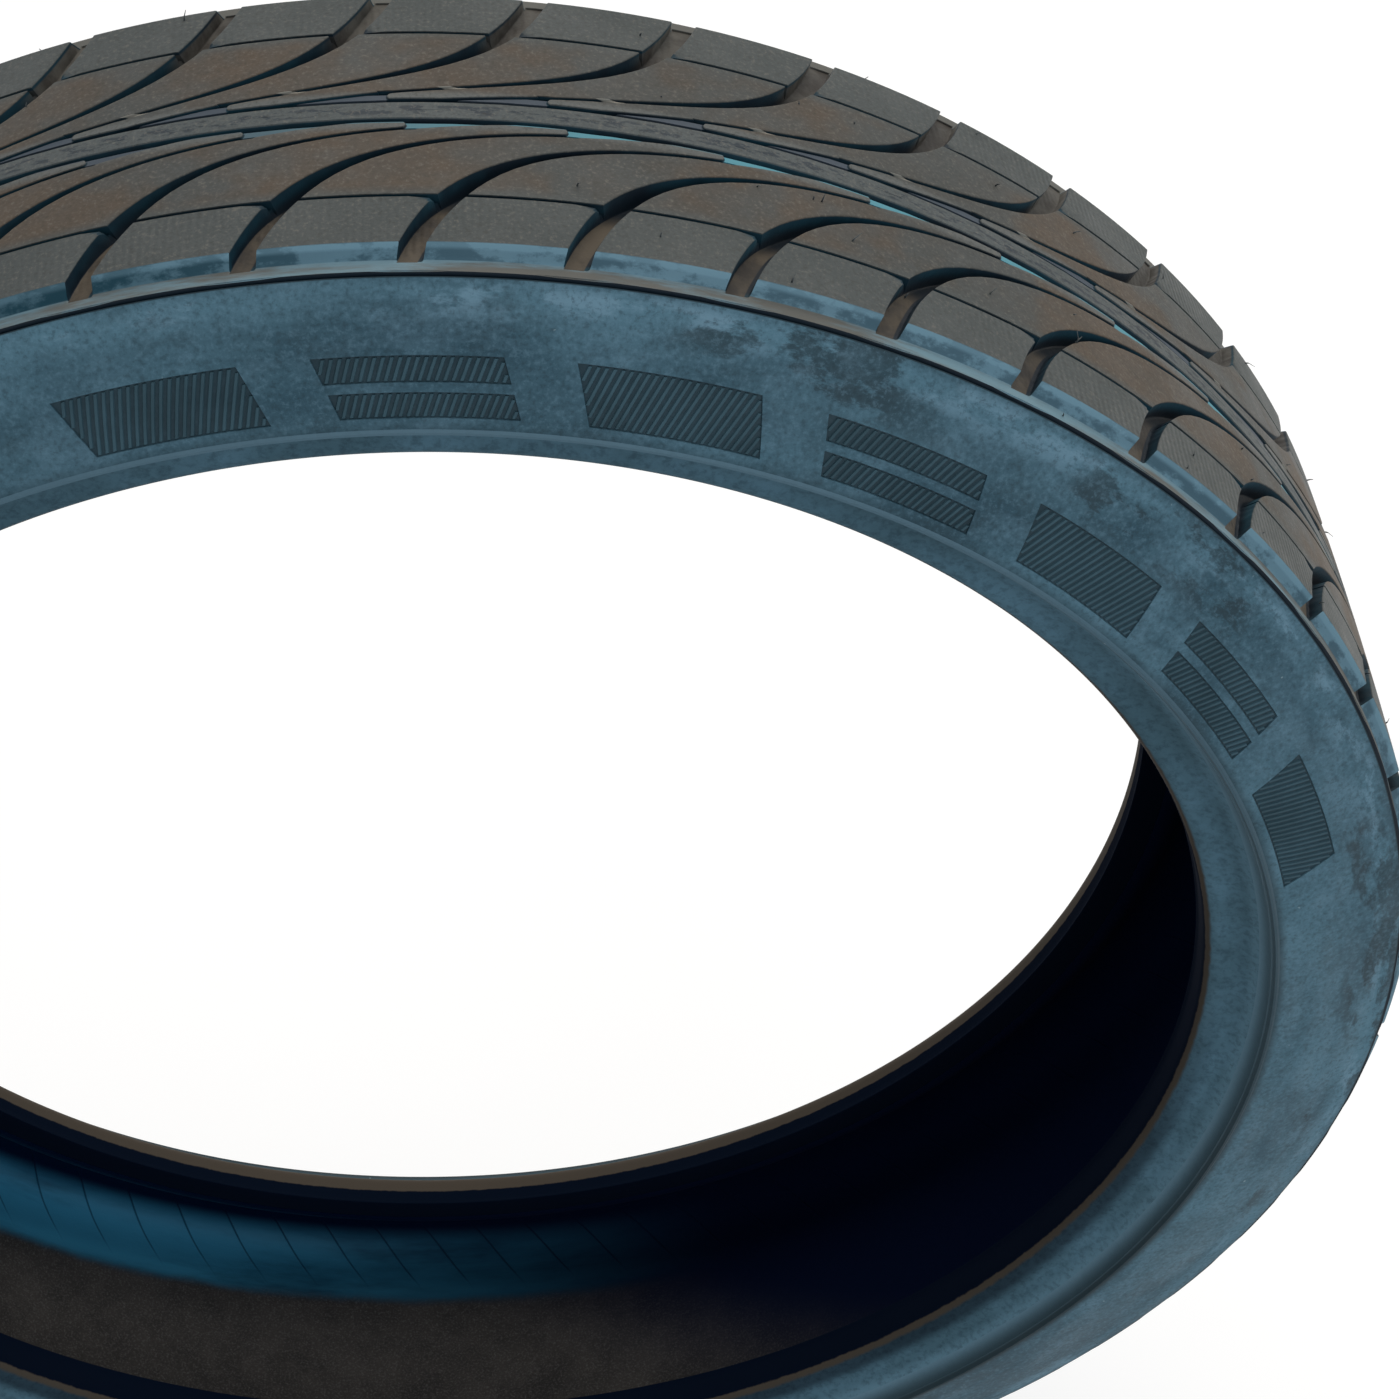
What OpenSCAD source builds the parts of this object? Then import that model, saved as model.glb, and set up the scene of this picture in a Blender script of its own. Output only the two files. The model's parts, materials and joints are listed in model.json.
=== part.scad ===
// Low-profile 15 inch tubeless tyre, built up as it is on the drum: liner, two
// body plies turned up round the bead wires, two belts, cap ply and a moulded
// tread whose curved grooves run from each shoulder into the centre grooves.
// Lengths are millimetres. The wheel axis is Y, up is Z, the origin is the centre.

/* [Size] */
// Diameter of the seat that grips the rim
seat_d = 380.2; // [345:0.1:420]
// Height of the section, from the seat to the crown of the tread
section_h = 51.4; // [47:0.2:58]
// Width of the rim that the tyre fits, between its two flanges
rim_w = 95; // [88:0.5:104]
// Width of the tread between the two mould lines
tread_w = 95.4; // [88:0.2:102]
// Radius of the crown across the tread
crown_r = 1440; // [900:20:2400]

/* [Tread pattern] */
// Number of grooves round each side
pitches = 47; // [40:1:52]
// Groove width at the shoulder, square to the groove
groove_w = 5; // [3.5:0.1:5.6]
// Groove width where it reaches the centre
groove_tip_w = 1; // [0.8:0.1:1.6]
// Groove depth over the middle of the tread
groove_depth = 4.6; // [3.5:0.1:5]
// Rubber left under the deepest groove
under_groove = 1.7; // [1.2:0.1:2.2]
// Angle that sets how far a groove is swept round the tyre
groove_sweep = 4.85; // [4.6:0.05:5.1]
// Power of the groove's curve, higher bends it later
groove_bend = 0.72; // [0.7:0.01:0.74]
// Width of the plain rib round the crown
rib_w = 5.6; // [5:0.1:6]
// Distance from the rib's edge to the tips of the tread's tongues
tip_out = 3.5; // [3.2:0.1:4]
// Depth of the narrow groove beside the centre rib
centre_depth = 3.4; // [2.5:0.1:4]
// Angle by which the left side's pattern leads the right side's
stagger = 0.9; // [0:0.05:3]
// Angle of one right-hand groove's shoulder end, up from the +X axis
first_groove = 4.6; // [0:0.1:7.6]
// Width of the sloping edge at each shoulder
shoulder_w = 3; // [2:0.1:4]
// Width of the flat ledge outside the shoulder
ledge_w = 2.7; // [2:0.1:3.4]
// Drop from the tread to the ledge
ledge_drop = 3.3; // [2.8:0.1:3.6]

/* [Layers] */
// Thickness of the airtight liner
liner_t = 0.9; // [0.6:0.1:1.4]
// Thickness of one body ply
ply_t = 0.8; // [0.6:0.1:1]
// Thickness of one belt
belt_t = 0.9; // [0.7:0.1:1.2]
// Thickness of the cap ply
cap_t = 0.5; // [0.4:0.1:0.8]
// Thickness of the tread base at the crown
base_t = 0.4; // [0.3:0.1:0.8]
// Thickness of the woven chafer strip
chafer_t = 0.7; // [0.5:0.1:0.8]
// How far the lower belt stops short of the tread's edge
belt_margin = 4.7; // [4:0.1:6]
// How far the upper belt stops short of the lower one
belt_step = 4; // [3:0.5:5]
// Length of a belt's bevelled edge
skive = 1; // [0.6:0.1:1.4]
// How far the shoulder wedge reaches in under the belts
wedge_reach = 7; // [5:0.5:9]

/* [Bead] */
// Diameter of one bead wire
wire_d = 1; // [0.8:0.05:1.05]
// Centre distance of neighbouring bead wires
wire_pitch = 1.2; // [1.15:0.05:1.25]
// Bead wires across and up
wire_rows = 4; // [3:1:4]
// Rubber between the seat and the chafer
seat_t = 1; // [0.8:0.1:1.3]
// Rubber between the liner and the toe's face
toe_t = 0.8; // [0.6:0.1:1.2]
// How far the toe reaches in past the seat
toe_grip = 0.4; // [0.2:0.1:0.6]
// Length of the bevel on the toe
toe_bevel = 1.1; // [0.8:0.1:1.4]
// Radius of the heel
heel_r = 4.5; // [4:0.1:4.8]
// Hard rubber between the chafer and the rim flange
cushion_t = 0.8; // [0.6:0.1:1]
// Radius of the hollow that takes the rim flange
flange_r = 9.7; // [9:0.1:10]
// Height of the rim line above the hollow
rim_line_rise = 1; // [0.8:0.1:1.4]
// How far the rim line reaches out over the rim flange
rim_line_out = 9.6; // [9:0.1:10.4]
// How far the rim line stands out
rim_line_t = 0.5; // [0.3:0.1:0.8]
// Height of the widest point of the plies above the seat
bulge_h = 27.4; // [26:0.2:29]
// How far the bead filler's tip stops short of that widest point
filler_gap = 4.4; // [3.6:0.1:6]
// Rubber outside the plies at their widest point
bulge_t = 6.3; // [5.5:0.1:7]

/* [Hidden] */

$fn = 96;

seat_r = seat_d / 2;
outer_r = seat_r + section_h;
tread_y = tread_w / 2;
bead_y = rim_w / 2;
rim_line = [seat_r + heel_r + flange_r + rim_line_rise, bead_y + rim_line_out];
pitch = 360 / pitches;

// Radius of the crown's curve at a distance y from the middle
function crown(y) = outer_r - y * y / (2 * crown_r);

// The ledge outside the shoulder lies flat, a step below the tread
shoulder_y = tread_y - ledge_w;
ledge_r = crown(shoulder_y) - ledge_drop;

// Depths below the crown at which one layer ends and the next begins
under_r = outer_r - groove_depth - under_groove;
cap_top = outer_r - under_r + base_t;
cap_bottom = cap_top + cap_t;
belt_joint = cap_bottom + belt_t;
ply_top = belt_joint + belt_t;

// A point [radius, y] at a depth below the crown
function under(y, depth) = [crown(y) - depth, y];

// ---- Curve helpers: every outline is a list of [radius, y] points ----

function reverse(p) = [for (i = [len(p) - 1:-1:0]) p[i]];

function slice(p, from, to) = [for (i = [from:to]) p[i]];

// Points on a cubic curve, without its first point
function bend(a, b, c, d, steps) = [
    for (i = [1:steps])
        let (t = i / steps, s = 1 - t)
        s * s * s * a + 3 * s * s * t * b + 3 * s * t * t * c + t * t * t * d];

// Points on an arc about [radius, y], angles measured from +radius to +y
function arc(centre, r, from, to, steps) = [
    for (i = [0:steps])
        let (q = from + (to - from) * i / steps)
        centre + r * [cos(q), sin(q)]];

// Unit vector square to the step from a to b, on the cavity's side
function square_to(a, b) = let (d = (b - a) / norm(b - a)) [-d.y, d.x];

// A path moved sideways by a distance, with its thickness kept at each bend
function moved(p, distance) = [
    for (i = [0:len(p) - 1])
        let (
            before = square_to(p[max(i - 1, 0)], p[max(i, 1)]),
            after = square_to(p[min(i, len(p) - 2)], p[min(i + 1, len(p) - 1)]),
            mean = (before + after) / norm(before + after))
        p[i] + mean * distance / (mean * before)];

// A ring about the wheel axis from an outline on the +Y side
module ring(outline) {
    rotate([-90, 0, 0])
        rotate_extrude(convexity = 8)
            polygon(outline);
}

// A ring that spans the tyre, from the +Y halves of its inner and outer paths
module full_ring(outer_path, inner_path) {
    half = concat(outer_path, reverse(inner_path));
    flip = [for (p = half) [p.x, -p.y]];
    other_side = slice(reverse(flip), 1, len(flip) - 2);
    ring(concat(half, other_side));
}

// Left is the +Y side, right its mirror image
module on_side(side) {
    if (side == "left") children();
    if (side == "right") mirror([0, 1, 0]) children();
}

// ---- The path of the plies, from the crown round the bead and up again ----

belt_half = tread_y - belt_margin;
wedge_in = belt_half - wedge_reach;
crown_steps = 6;
shoulder_steps = 12;
wall_steps = 18;
corner_steps = 5;
turn_steps = 12;

crown_ys = [for (i = [0:crown_steps]) wedge_in * i / crown_steps];
crown_path = [for (y = crown_ys) under(y, ply_top)];

core_w = wire_rows * wire_pitch;
core_bottom = seat_r + seat_t + chafer_t + 2 * ply_t;
core_top = core_bottom + core_w;
core_out = bead_y - cushion_t - chafer_t - 2 * ply_t;
core_in = core_out - core_w;
corner_r = wire_pitch / 2;

// The ends of each curve leave square to the crown, the wall and the bead; a
// handle's share of the way it has to go sets how full the curve is
widest = [seat_r + bulge_h, rim_line.y - bulge_t];
shoulder_fall = crown(wedge_in) - ply_top - widest.x;
shoulder_path = bend(
    under(wedge_in, ply_top), under((wedge_in + 1.8 * widest.y) / 2.8, ply_top),
    widest + [0.58 * shoulder_fall, 0], widest, shoulder_steps);
wall_fall = widest.x - core_top;
wall_path = bend(
    widest, widest - [0.57 * wall_fall, 0],
    [core_top + 0.35 * wall_fall, core_in], [core_top, core_in], wall_steps);
core_path = concat(
    arc([core_bottom + corner_r, core_in + corner_r], corner_r, 270, 180, corner_steps),
    arc([core_bottom + corner_r, core_out - corner_r], corner_r, 180, 90, corner_steps),
    [[core_top, core_out]]);

// The filler's tip lies on the ply, at the path's last point above its height
down_path = concat(crown_path, shoulder_path, wall_path);
wall_end = len(down_path) - 1;
tip_at = wall_end - len([for (p = wall_path) if (p.x < widest.x - filler_gap) p]);
tip = down_path[tip_at];
turn_rise = tip.x - core_top;
tip_step = tip - down_path[tip_at + 1];
turn_path = bend(
    [core_top, core_out], [core_top + 0.26 * turn_rise, core_out],
    tip - 0.4 * turn_rise * [1, 0.7 * tip_step.y / tip_step.x], tip, turn_steps);

ply_path = concat(down_path, core_path, turn_path);
turn_start = wall_end + len(core_path);
chafer_end = turn_start + 4;
inner_ply_end = turn_start + 7;
outer_ply_end = turn_start + 10;
path_end = len(ply_path) - 1;

ply_joint = moved(ply_path, ply_t);
ply_inside = moved(ply_path, 2 * ply_t);
chafer_outside = moved(ply_path, 2 * ply_t + chafer_t);
liner_inside = moved(ply_path, 2 * ply_t + liner_t);

// ---- Carcass ----

module inner_liner() color("#16181c") {
    full_ring(
        slice(ply_inside, 0, wall_end),
        slice(liner_inside, 0, wall_end));
}

module body_ply_inner() color("#6d6a5c") {
    full_ring(
        slice(ply_joint, 0, inner_ply_end),
        slice(ply_inside, 0, inner_ply_end));
}

module body_ply_outer() color("#7a7666") {
    full_ring(
        slice(ply_path, 0, outer_ply_end),
        slice(ply_joint, 0, outer_ply_end));
}

// ---- Belts ----

upper_half = belt_half - belt_step;

module belt_lower() color("#8a8578") {
    full_ring(
        concat([for (y = crown_ys) under(y, belt_joint)],
            [under(upper_half, belt_joint), under(belt_half - skive, belt_joint)]),
        concat(crown_path, [under(belt_half, ply_top)]));
}

module belt_upper() color("#989384") {
    full_ring(
        concat([for (y = crown_ys) under(y, cap_bottom)],
            [under(upper_half - skive, cap_bottom)]),
        concat([for (y = crown_ys) under(y, belt_joint)],
            [under(upper_half, belt_joint)]));
}

// The cap ply steps down over the edge of the upper belt
cap_edge = concat(
    [for (y = crown_ys) under(y, cap_top)],
    [under(upper_half - skive + cap_t / 2, cap_top),
     under(upper_half + cap_t / 2, cap_top + belt_t),
     under(belt_half - skive, cap_top + belt_t)]);

module cap_ply() color("#a9a494") {
    full_ring(
        cap_edge,
        concat([for (y = crown_ys) under(y, cap_bottom)],
            [under(upper_half - skive, cap_bottom),
             under(upper_half, belt_joint),
             under(belt_half - skive, belt_joint)]));
}

// Index of the last point of the plies that the wedge rests on
wedge_end = crown_steps + 6;

module belt_wedge(side) color("#3a3b3f") on_side(side) {
    ring(concat(
        [under(belt_half, ply_top), under(tread_y, ply_top)],
        reverse(slice(ply_path, crown_steps, wedge_end))));
}

// ---- Beads ----

module bead_coating(side) color("#2b2c30") on_side(side) {
    rotate([-90, 0, 0])
        rotate_extrude(convexity = 10)
            difference() {
                polygon(concat([ply_path[wall_end]], core_path));
                wire_circles();
            }
}

module wire_circles() {
    for (up = [0:wire_rows - 1])
        for (over = [0:wire_rows - 1])
            translate([core_bottom + (up + 0.5) * wire_pitch, core_in + (over + 0.5) * wire_pitch])
                circle(d = wire_d, $fn = 24);
}

module bead_wires(side) color("#b08d57") on_side(side) {
    rotate([-90, 0, 0])
        rotate_extrude(convexity = 10)
            wire_circles();
}

module bead_filler(side) color("#303237") on_side(side) {
    ring(concat(
        slice(ply_path, tip_at, wall_end),
        slice(ply_path, turn_start, path_end - 1)));
}

module chafer(side) color("#5c5a50") on_side(side) {
    ring(concat(
        slice(ply_inside, wall_end, chafer_end),
        reverse(slice(chafer_outside, wall_end, chafer_end))));
}

// ---- Outer skin below the tread ----

// Hollow that takes the rim flange, from the heel to just short of its own top;
// the rim cushion reaches up to one of its points and the sidewall takes the rest
flange_centre = [seat_r + heel_r, bead_y + flange_r];
flange_short = 8.2;
flange_steps = 14;
cushion_reach = 9;
flange_path = arc(flange_centre, flange_r, 270, 360 - flange_short, flange_steps);
rim_step = flange_path[flange_steps];

// The cushion's lip stands just proud of the liner, or of the chafer
lip = moved(ply_path, 2 * ply_t + max(liner_t, 1.1 * chafer_t))[wall_end];
toe_y = lip.y - toe_t;

// Toe, seat, heel and the hollow as far as the cushion reaches
seat_path = concat(
    [[seat_r - toe_grip, toe_y], [seat_r, toe_y + toe_bevel]],
    arc([seat_r + heel_r, bead_y - heel_r], heel_r, 180, 90, 10),
    slice(flange_path, 1, cushion_reach));

module rim_cushion(side) color("#3c464b") on_side(side) {
    ring(concat(
        slice(chafer_outside, wall_end, chafer_end),
        reverse(seat_path),
        [[seat_r + 2 * toe_grip, toe_y - toe_grip / 2],
         [(seat_r + core_top) / 2, toe_y + toe_grip / 4],
         lip]));
}

// The wall swells gently from the mould line down to the rim line, a low ridge
notch = 0.15 * ledge_drop;
wall_top = [ledge_r - 1.2 * notch, tread_y + notch];
wall_way = rim_line - wall_top;
outer_wall = concat(
    [[wall_top.x - 1.2 * notch, tread_y], wall_top],
    bend(
        wall_top, wall_top + [0.27 * wall_way.x, 0.38 * wall_way.y],
        rim_line - [0.34 * wall_way.x, 0.13 * wall_way.y + rim_line_t],
        rim_line + rim_line_t * [1.8, -1], 20),
    [for (k = [[0.8, 0], [-0.4, 0]]) rim_line + rim_line_t * k],
    [rim_step + rim_line_t * [0.7, 0.3]]);

module sidewall(side) color("#56646b") on_side(side) {
    ring(concat(
        outer_wall,
        reverse(slice(flange_path, cushion_reach, flange_steps)),
        [chafer_outside[chafer_end]],
        slice(ply_inside, chafer_end, inner_ply_end),
        slice(ply_joint, inner_ply_end, outer_ply_end),
        slice(ply_path, outer_ply_end, path_end),
        reverse(slice(ply_path, wedge_end, tip_at - 1)),
        [under(tread_y, ply_top)]));
}

// ---- Tread ----

module tread_base() color("#2e2f33") {
    full_ring(
        [[under_r, 0], [under_r, tread_y]],
        concat(cap_edge,
            [under(belt_half - skive, belt_joint),
             under(belt_half, ply_top),
             under(tread_y, ply_top)]));
}

// Eased step from 0 to 1 as x goes from one value to the other
function ease(x, from, to) =
    let (t = min(max((x - from) / (to - from), 0), 1)) t * t * (3 - 2 * t);

rib_y = rib_w / 2;
deg_mm = 180 / (PI * outer_r);

// Angle by which the groove trails its shoulder end, at a distance y
function lag(y) = groove_sweep * (pow(shoulder_y / y, groove_bend) - 1);

// Slope of the groove's line: millimetres round the tyre for one across it
function lag_slope(y) =
    groove_sweep * groove_bend * pow(shoulder_y / y, groove_bend) / y / deg_mm;

// Shares of the half width over which the groove widens, and its floor ramps up
function full_width(y) = ease(y / shoulder_y, 0.13, 0.71);
function ramp(y) = ease(y / shoulder_y, 0.49, 0.76);

function groove_width(y) = groove_tip_w + (groove_w - groove_tip_w) * full_width(y);

// Half of the groove's width measured round the tyre, as an angle
function half_angle(y) =
    groove_width(y) / 2 * sqrt(1 + pow(lag_slope(y), 2)) * deg_mm;

// Share of the groove's width that its floor takes
function floor_share(y) = 0.4 + 0.28 * full_width(y);

// Radius of the groove's floor, which ramps up to the ledge
function floor_r(y) =
    let (level = crown(y) - groove_depth, high = crown(y) - 0.76 * groove_depth)
    level + ramp(y) * (min(ledge_r, high) - level);

// Lag of the tongues' tips, and columns of points to a pitch
tip_lag = lag(rib_y + tip_out);
columns = 5;

// One station across the tread: [y, five angles, five radii]
function land_station(y) =
    let (mid = lag(y), half = half_angle(y), in = half * floor_share(y))
    [y,
     [mid - half, mid - in, mid + in, mid + half, mid + pitch / 2],
     [crown(y), floor_r(y), floor_r(y), crown(y), crown(y)]];

// A station where the groove has opened into the centre groove, by a share of the
// pitch; the depths are shares of the centre groove's
function tail_station(y, opening, depths) =
    let (gap = pitch * opening)
    [y,
     [tip_lag, tip_lag + gap * 0.12, tip_lag + gap * 0.6, tip_lag + gap,
      tip_lag + (gap + pitch) / 2],
     [for (d = depths) crown(y) - d * centre_depth]];

// A station that is the same all round
function plain_station(y, r, start) =
    [y, [for (c = [0:columns - 1]) start + pitch * c / columns], [for (c = [1:columns]) r]];

function ledge_station(y, r) = [y, land_station(shoulder_y)[1], [for (c = [1:columns]) r]];

// Places across the tread, each further out by the same factor, as the lag's
// curve flattens towards the shoulder
chamfer_y = shoulder_y - shoulder_w;
inner_y = rib_y + 1.3 * tip_out;
groove_ys = [for (i = [0:5]) inner_y * pow(chamfer_y / inner_y, i / 5)];

// The last station lies on the tread base, lifted so that its flats clear the curve
stations = concat(
    [plain_station(rib_y, crown(rib_y), tip_lag),
     plain_station(rib_y + 0.16 * tip_out, crown(rib_y) - centre_depth, tip_lag),
     tail_station(rib_y + 0.4 * tip_out, 0.95, [0, 0.7, 0.35, 0, 0]),
     tail_station(rib_y + 0.75 * tip_out, 0.32, [0, 0.9, 0.5, 0, 0])],
    [for (y = groove_ys) land_station(y)],
    [ledge_station(shoulder_y, ledge_r), ledge_station(tread_y, ledge_r),
     plain_station(tread_y, under_r / cos(pitch / columns), 0)]);

count = columns * pitches;

// Angle and radius of running column n at a station
function column_angle(s, n) = floor(n / columns) * pitch + s[1][n % columns];
function column_r(s, n) = s[2][n % columns];

// The +Y pattern is the -Y one turned half round, so its columns run backwards
function right_point(s, n) =
    let (q = first_groove - column_angle(s, n), r = column_r(s, n))
    [r * cos(q), -s[0], r * sin(q)];
function left_point(s, n) =
    let (
        m = (2 * count - n) % count,
        q = first_groove + stagger - 2 * tip_lag + column_angle(s, m),
        r = column_r(s, m))
    [r * cos(q), s[0], r * sin(q)];

// Columns between the two sides' numbers where they meet on the rib, and, as a
// column slants round the tyre, where they meet again under the tread
rib_step = round(stagger / pitch * columns);
under_step = rib_step + round((2 * tip_lag - stagger) / pitch * columns);

last = len(stations) - 1;
tread_points = concat(
    [for (i = [last:-1:0]) for (n = [0:count - 1]) right_point(stations[i], n)],
    [for (i = [0:last]) for (n = [0:count - 1])
        left_point(stations[i], (n + rib_step) % count)]);

// Index of the point in column n of ring i, where the rings close on the first
rings = 2 * (last + 1);
function id(i, n) = (i % rings) * count + (n + (i < rings ? 0 : under_step)) % count;

tread_faces = [
    for (i = [0:rings - 1])
        for (n = [0:count - 1])
            each [[id(i, n), id(i + 1, n), id(i + 1, n + 1)],
                  [id(i, n), id(i + 1, n + 1), id(i, n + 1)]]];

module tread_cap() color("#5a5a5b") {
    polyhedron(points = tread_points, faces = tread_faces, convexity = 10);
}

tread_cap();
tread_base();
cap_ply();
belt_upper();
belt_lower();
belt_wedge("left");  // belt_wedge_left
belt_wedge("right");  // belt_wedge_right
body_ply_outer();
body_ply_inner();
inner_liner();
sidewall("left");  // sidewall_left
sidewall("right");  // sidewall_right
rim_cushion("left");  // rim_cushion_left
rim_cushion("right");  // rim_cushion_right
chafer("left");  // chafer_left
chafer("right");  // chafer_right
bead_filler("left");  // bead_filler_left
bead_filler("right");  // bead_filler_right
bead_coating("left");  // bead_coating_left
bead_coating("right");  // bead_coating_right
bead_wires("left");  // bead_wires_left
bead_wires("right");  // bead_wires_right
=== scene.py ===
"""Low-profile motorcycle tyre, standing by itself and not yet on its rim.

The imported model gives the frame: the wheel axis is Y, up is Z and the origin is the
centre. The rubber that shows (tread, sidewalls, rim cushions and liner) is replaced by
finer meshes worked out from the same section, and what lies inside keeps its own
solids. Lengths are millimetres until a mesh is written, when they become metres.
"""

from __future__ import annotations

import json
import logging
import math
from dataclasses import dataclass, field
from enum import Enum
from functools import cached_property, reduce
from typing import Any

import bpy
import numpy as np
from mathutils import Matrix, Vector

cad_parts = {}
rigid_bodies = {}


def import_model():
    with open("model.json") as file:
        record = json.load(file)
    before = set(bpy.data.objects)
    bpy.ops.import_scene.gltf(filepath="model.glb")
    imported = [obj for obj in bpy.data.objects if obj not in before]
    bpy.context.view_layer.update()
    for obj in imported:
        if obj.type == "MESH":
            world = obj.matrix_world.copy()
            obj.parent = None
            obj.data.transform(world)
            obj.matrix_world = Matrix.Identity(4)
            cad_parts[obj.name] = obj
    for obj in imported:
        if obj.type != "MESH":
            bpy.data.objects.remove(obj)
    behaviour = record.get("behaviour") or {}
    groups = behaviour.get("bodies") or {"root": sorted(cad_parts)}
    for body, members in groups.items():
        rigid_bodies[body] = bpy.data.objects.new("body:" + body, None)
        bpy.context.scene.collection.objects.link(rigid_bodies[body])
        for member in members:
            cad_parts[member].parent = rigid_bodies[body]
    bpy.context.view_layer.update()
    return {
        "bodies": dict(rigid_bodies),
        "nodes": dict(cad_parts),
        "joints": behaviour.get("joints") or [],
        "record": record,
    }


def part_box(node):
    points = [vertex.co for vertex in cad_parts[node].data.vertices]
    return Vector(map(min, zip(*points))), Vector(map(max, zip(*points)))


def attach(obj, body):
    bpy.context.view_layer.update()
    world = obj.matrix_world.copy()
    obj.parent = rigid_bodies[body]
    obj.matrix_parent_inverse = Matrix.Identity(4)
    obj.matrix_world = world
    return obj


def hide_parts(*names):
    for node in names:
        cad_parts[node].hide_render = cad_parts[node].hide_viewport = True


LOG = logging.getLogger("tyre")
METRES = 0.001

Material = bpy.types.Material
Piece = bpy.types.Object
Socket = bpy.types.NodeSocket


class Side(Enum):
    """The two sides of the tyre, by the sign of their Y."""

    LEFT = 1
    RIGHT = -1


# ---- Meshes ---------------------------------------------------------------------------


@dataclass
class Sheet:
    """A grid of points wrapped into a closed ring: rows go round the section, columns
    round the wheel axis.

    Fields: points is rows x columns x 3 in millimetres; around and across give each
    point its place on the surface in millimetres, for the UV map; marks are named
    values per point; sharp_angle is the bend, in degrees, past which an edge stays
    crisp.
    """

    points: np.ndarray
    around: np.ndarray
    across: np.ndarray
    marks: dict[str, np.ndarray] = field(default_factory=dict)
    sharp_angle: float = 40.0

    def build(self, name: str) -> Piece:
        """Writes the grid as a closed mesh with its faces pointing outwards.

        Args:
            name: the piece's name.

        Returns:
            The new object, at the origin.
        """
        rows, columns = self.points.shape[:2]
        row, column = np.meshgrid(np.arange(rows), np.arange(columns), indexing="ij")
        corners = [(row, column), (row, column + 1), (row + 1, column + 1), (row + 1, column)]
        if self._turns_inward():
            corners.reverse()
        quads = np.stack([(r % rows) * columns + c % columns for r, c in corners], -1)
        piece = loose_mesh(
            name, self.points.reshape(-1, 3), quads.reshape(-1, 4).tolist(), self.sharp_angle
        )
        self._write_uv(piece.data, corners)
        for key, values in self.marks.items():
            mark = piece.data.attributes.new(key, "FLOAT", "POINT")
            mark.data.foreach_set("value", np.ascontiguousarray(values, np.float32).ravel())
        piece.data.validate()
        return piece

    def _turns_inward(self) -> bool:
        """Tells which way the faces would point in the grid's own order.

        The sum of each quad's area vector times its place is six times the volume, and
        its sign tells the order.

        Returns:
            True if they would point inwards.
        """
        p = self.points
        down, right = np.roll(p, -1, 0), np.roll(p, -1, 1)
        across = np.roll(right, -1, 0)
        area = np.cross(across - p, down - right)
        return float((area * (p + across)).sum()) < 0.0

    def _write_uv(self, mesh: bpy.types.Mesh, corners: list) -> None:
        """Fills the UV map, carrying the last row and column on past the seam.

        Args:
            mesh: the mesh whose faces follow the grid.
            corners: row and column of each quad's corners, in the faces' order.
        """
        turn = self.around[:, -1:] + (self.around[:, -1:] - self.around[:, -2:-1])
        around = np.concatenate([self.around, turn], 1)
        around = np.concatenate([around, around[-1:]], 0)
        across = np.concatenate([self.across, self.across[:, :1]], 1)
        across = np.concatenate([across, across[-1:]], 0)
        uv = np.stack([np.stack([around[r, c], across[r, c]], -1) for r, c in corners], 2)
        layer = mesh.uv_layers.new(name="surface")
        layer.data.foreach_set("uv", uv.astype(np.float32).ravel())


def link(piece: Piece) -> Piece:
    """Puts a new object into the scene and returns it."""
    bpy.context.scene.collection.objects.link(piece)
    return piece


def loose_mesh(name: str, points: np.ndarray, faces: list, sharp_angle: float = 40.0) -> Piece:
    """Writes points and faces as one smooth object.

    Args:
        name: the piece's name.
        points: the points, in millimetres.
        faces: a list of point numbers for each face.
        sharp_angle: the bend, in degrees, past which an edge stays crisp.

    Returns:
        The new object, at the origin.
    """
    mesh = bpy.data.meshes.new(name)
    mesh.from_pydata((points * METRES).tolist(), [], faces)
    mesh.shade_smooth()
    mesh.set_sharp_from_angle(angle=math.radians(sharp_angle))
    return link(bpy.data.objects.new(name, mesh))


def on_wheel(radius: np.ndarray, y: np.ndarray, angle: np.ndarray) -> np.ndarray:
    """Places points about the wheel axis.

    Args:
        radius: distance from the axis.
        y: place along the axis.
        angle: degrees round it, 0 along +X and 90 up.

    Returns:
        The points, with x, y and z along the last dimension.
    """
    radius, y, turn = np.broadcast_arrays(radius, y, np.radians(angle))
    return np.stack([radius * np.cos(turn), y, radius * np.sin(turn)], -1)


def ease(x: np.ndarray, start: float, end: float) -> np.ndarray:
    """Smooth step from 0 at start to 1 at end: 3t squared less 2t cubed."""
    t = np.clip((np.asarray(x, float) - start) / (end - start), 0.0, 1.0)
    return t * t * (3.0 - 2.0 * t)


def cubic(a: Any, b: Any, c: Any, d: Any, steps: int) -> np.ndarray:
    """Points along a cubic curve: s^3 a + 3 s^2 t b + 3 s t^2 c + t^3 d, where s = 1 - t.

    Args:
        a: the first end.
        b: its handle.
        c: the last end's handle.
        d: the last end.
        steps: the number of stretches.

    Returns:
        The points, both ends included.
    """
    t = np.linspace(0.0, 1.0, steps + 1)[:, None]
    s = 1.0 - t
    a, b, c, d = (np.asarray(p, float) for p in (a, b, c, d))
    return s**3 * a + 3 * s * s * t * b + 3 * s * t * t * c + t**3 * d


def arc(centre: tuple[float, float], r: float, start: float, end: float, steps: int) -> np.ndarray:
    """Points on a circle about (radius, y), angles in degrees from +radius to +y."""
    q = np.radians(np.linspace(start, end, steps + 1))
    return np.array(centre) + r * np.stack([np.cos(q), np.sin(q)], -1)


def run_length(path: np.ndarray) -> np.ndarray:
    """Distance along a path at each of its points."""
    step = np.linalg.norm(np.diff(path, axis=0), axis=1)
    return np.concatenate([[0.0], np.cumsum(step)])


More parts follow.
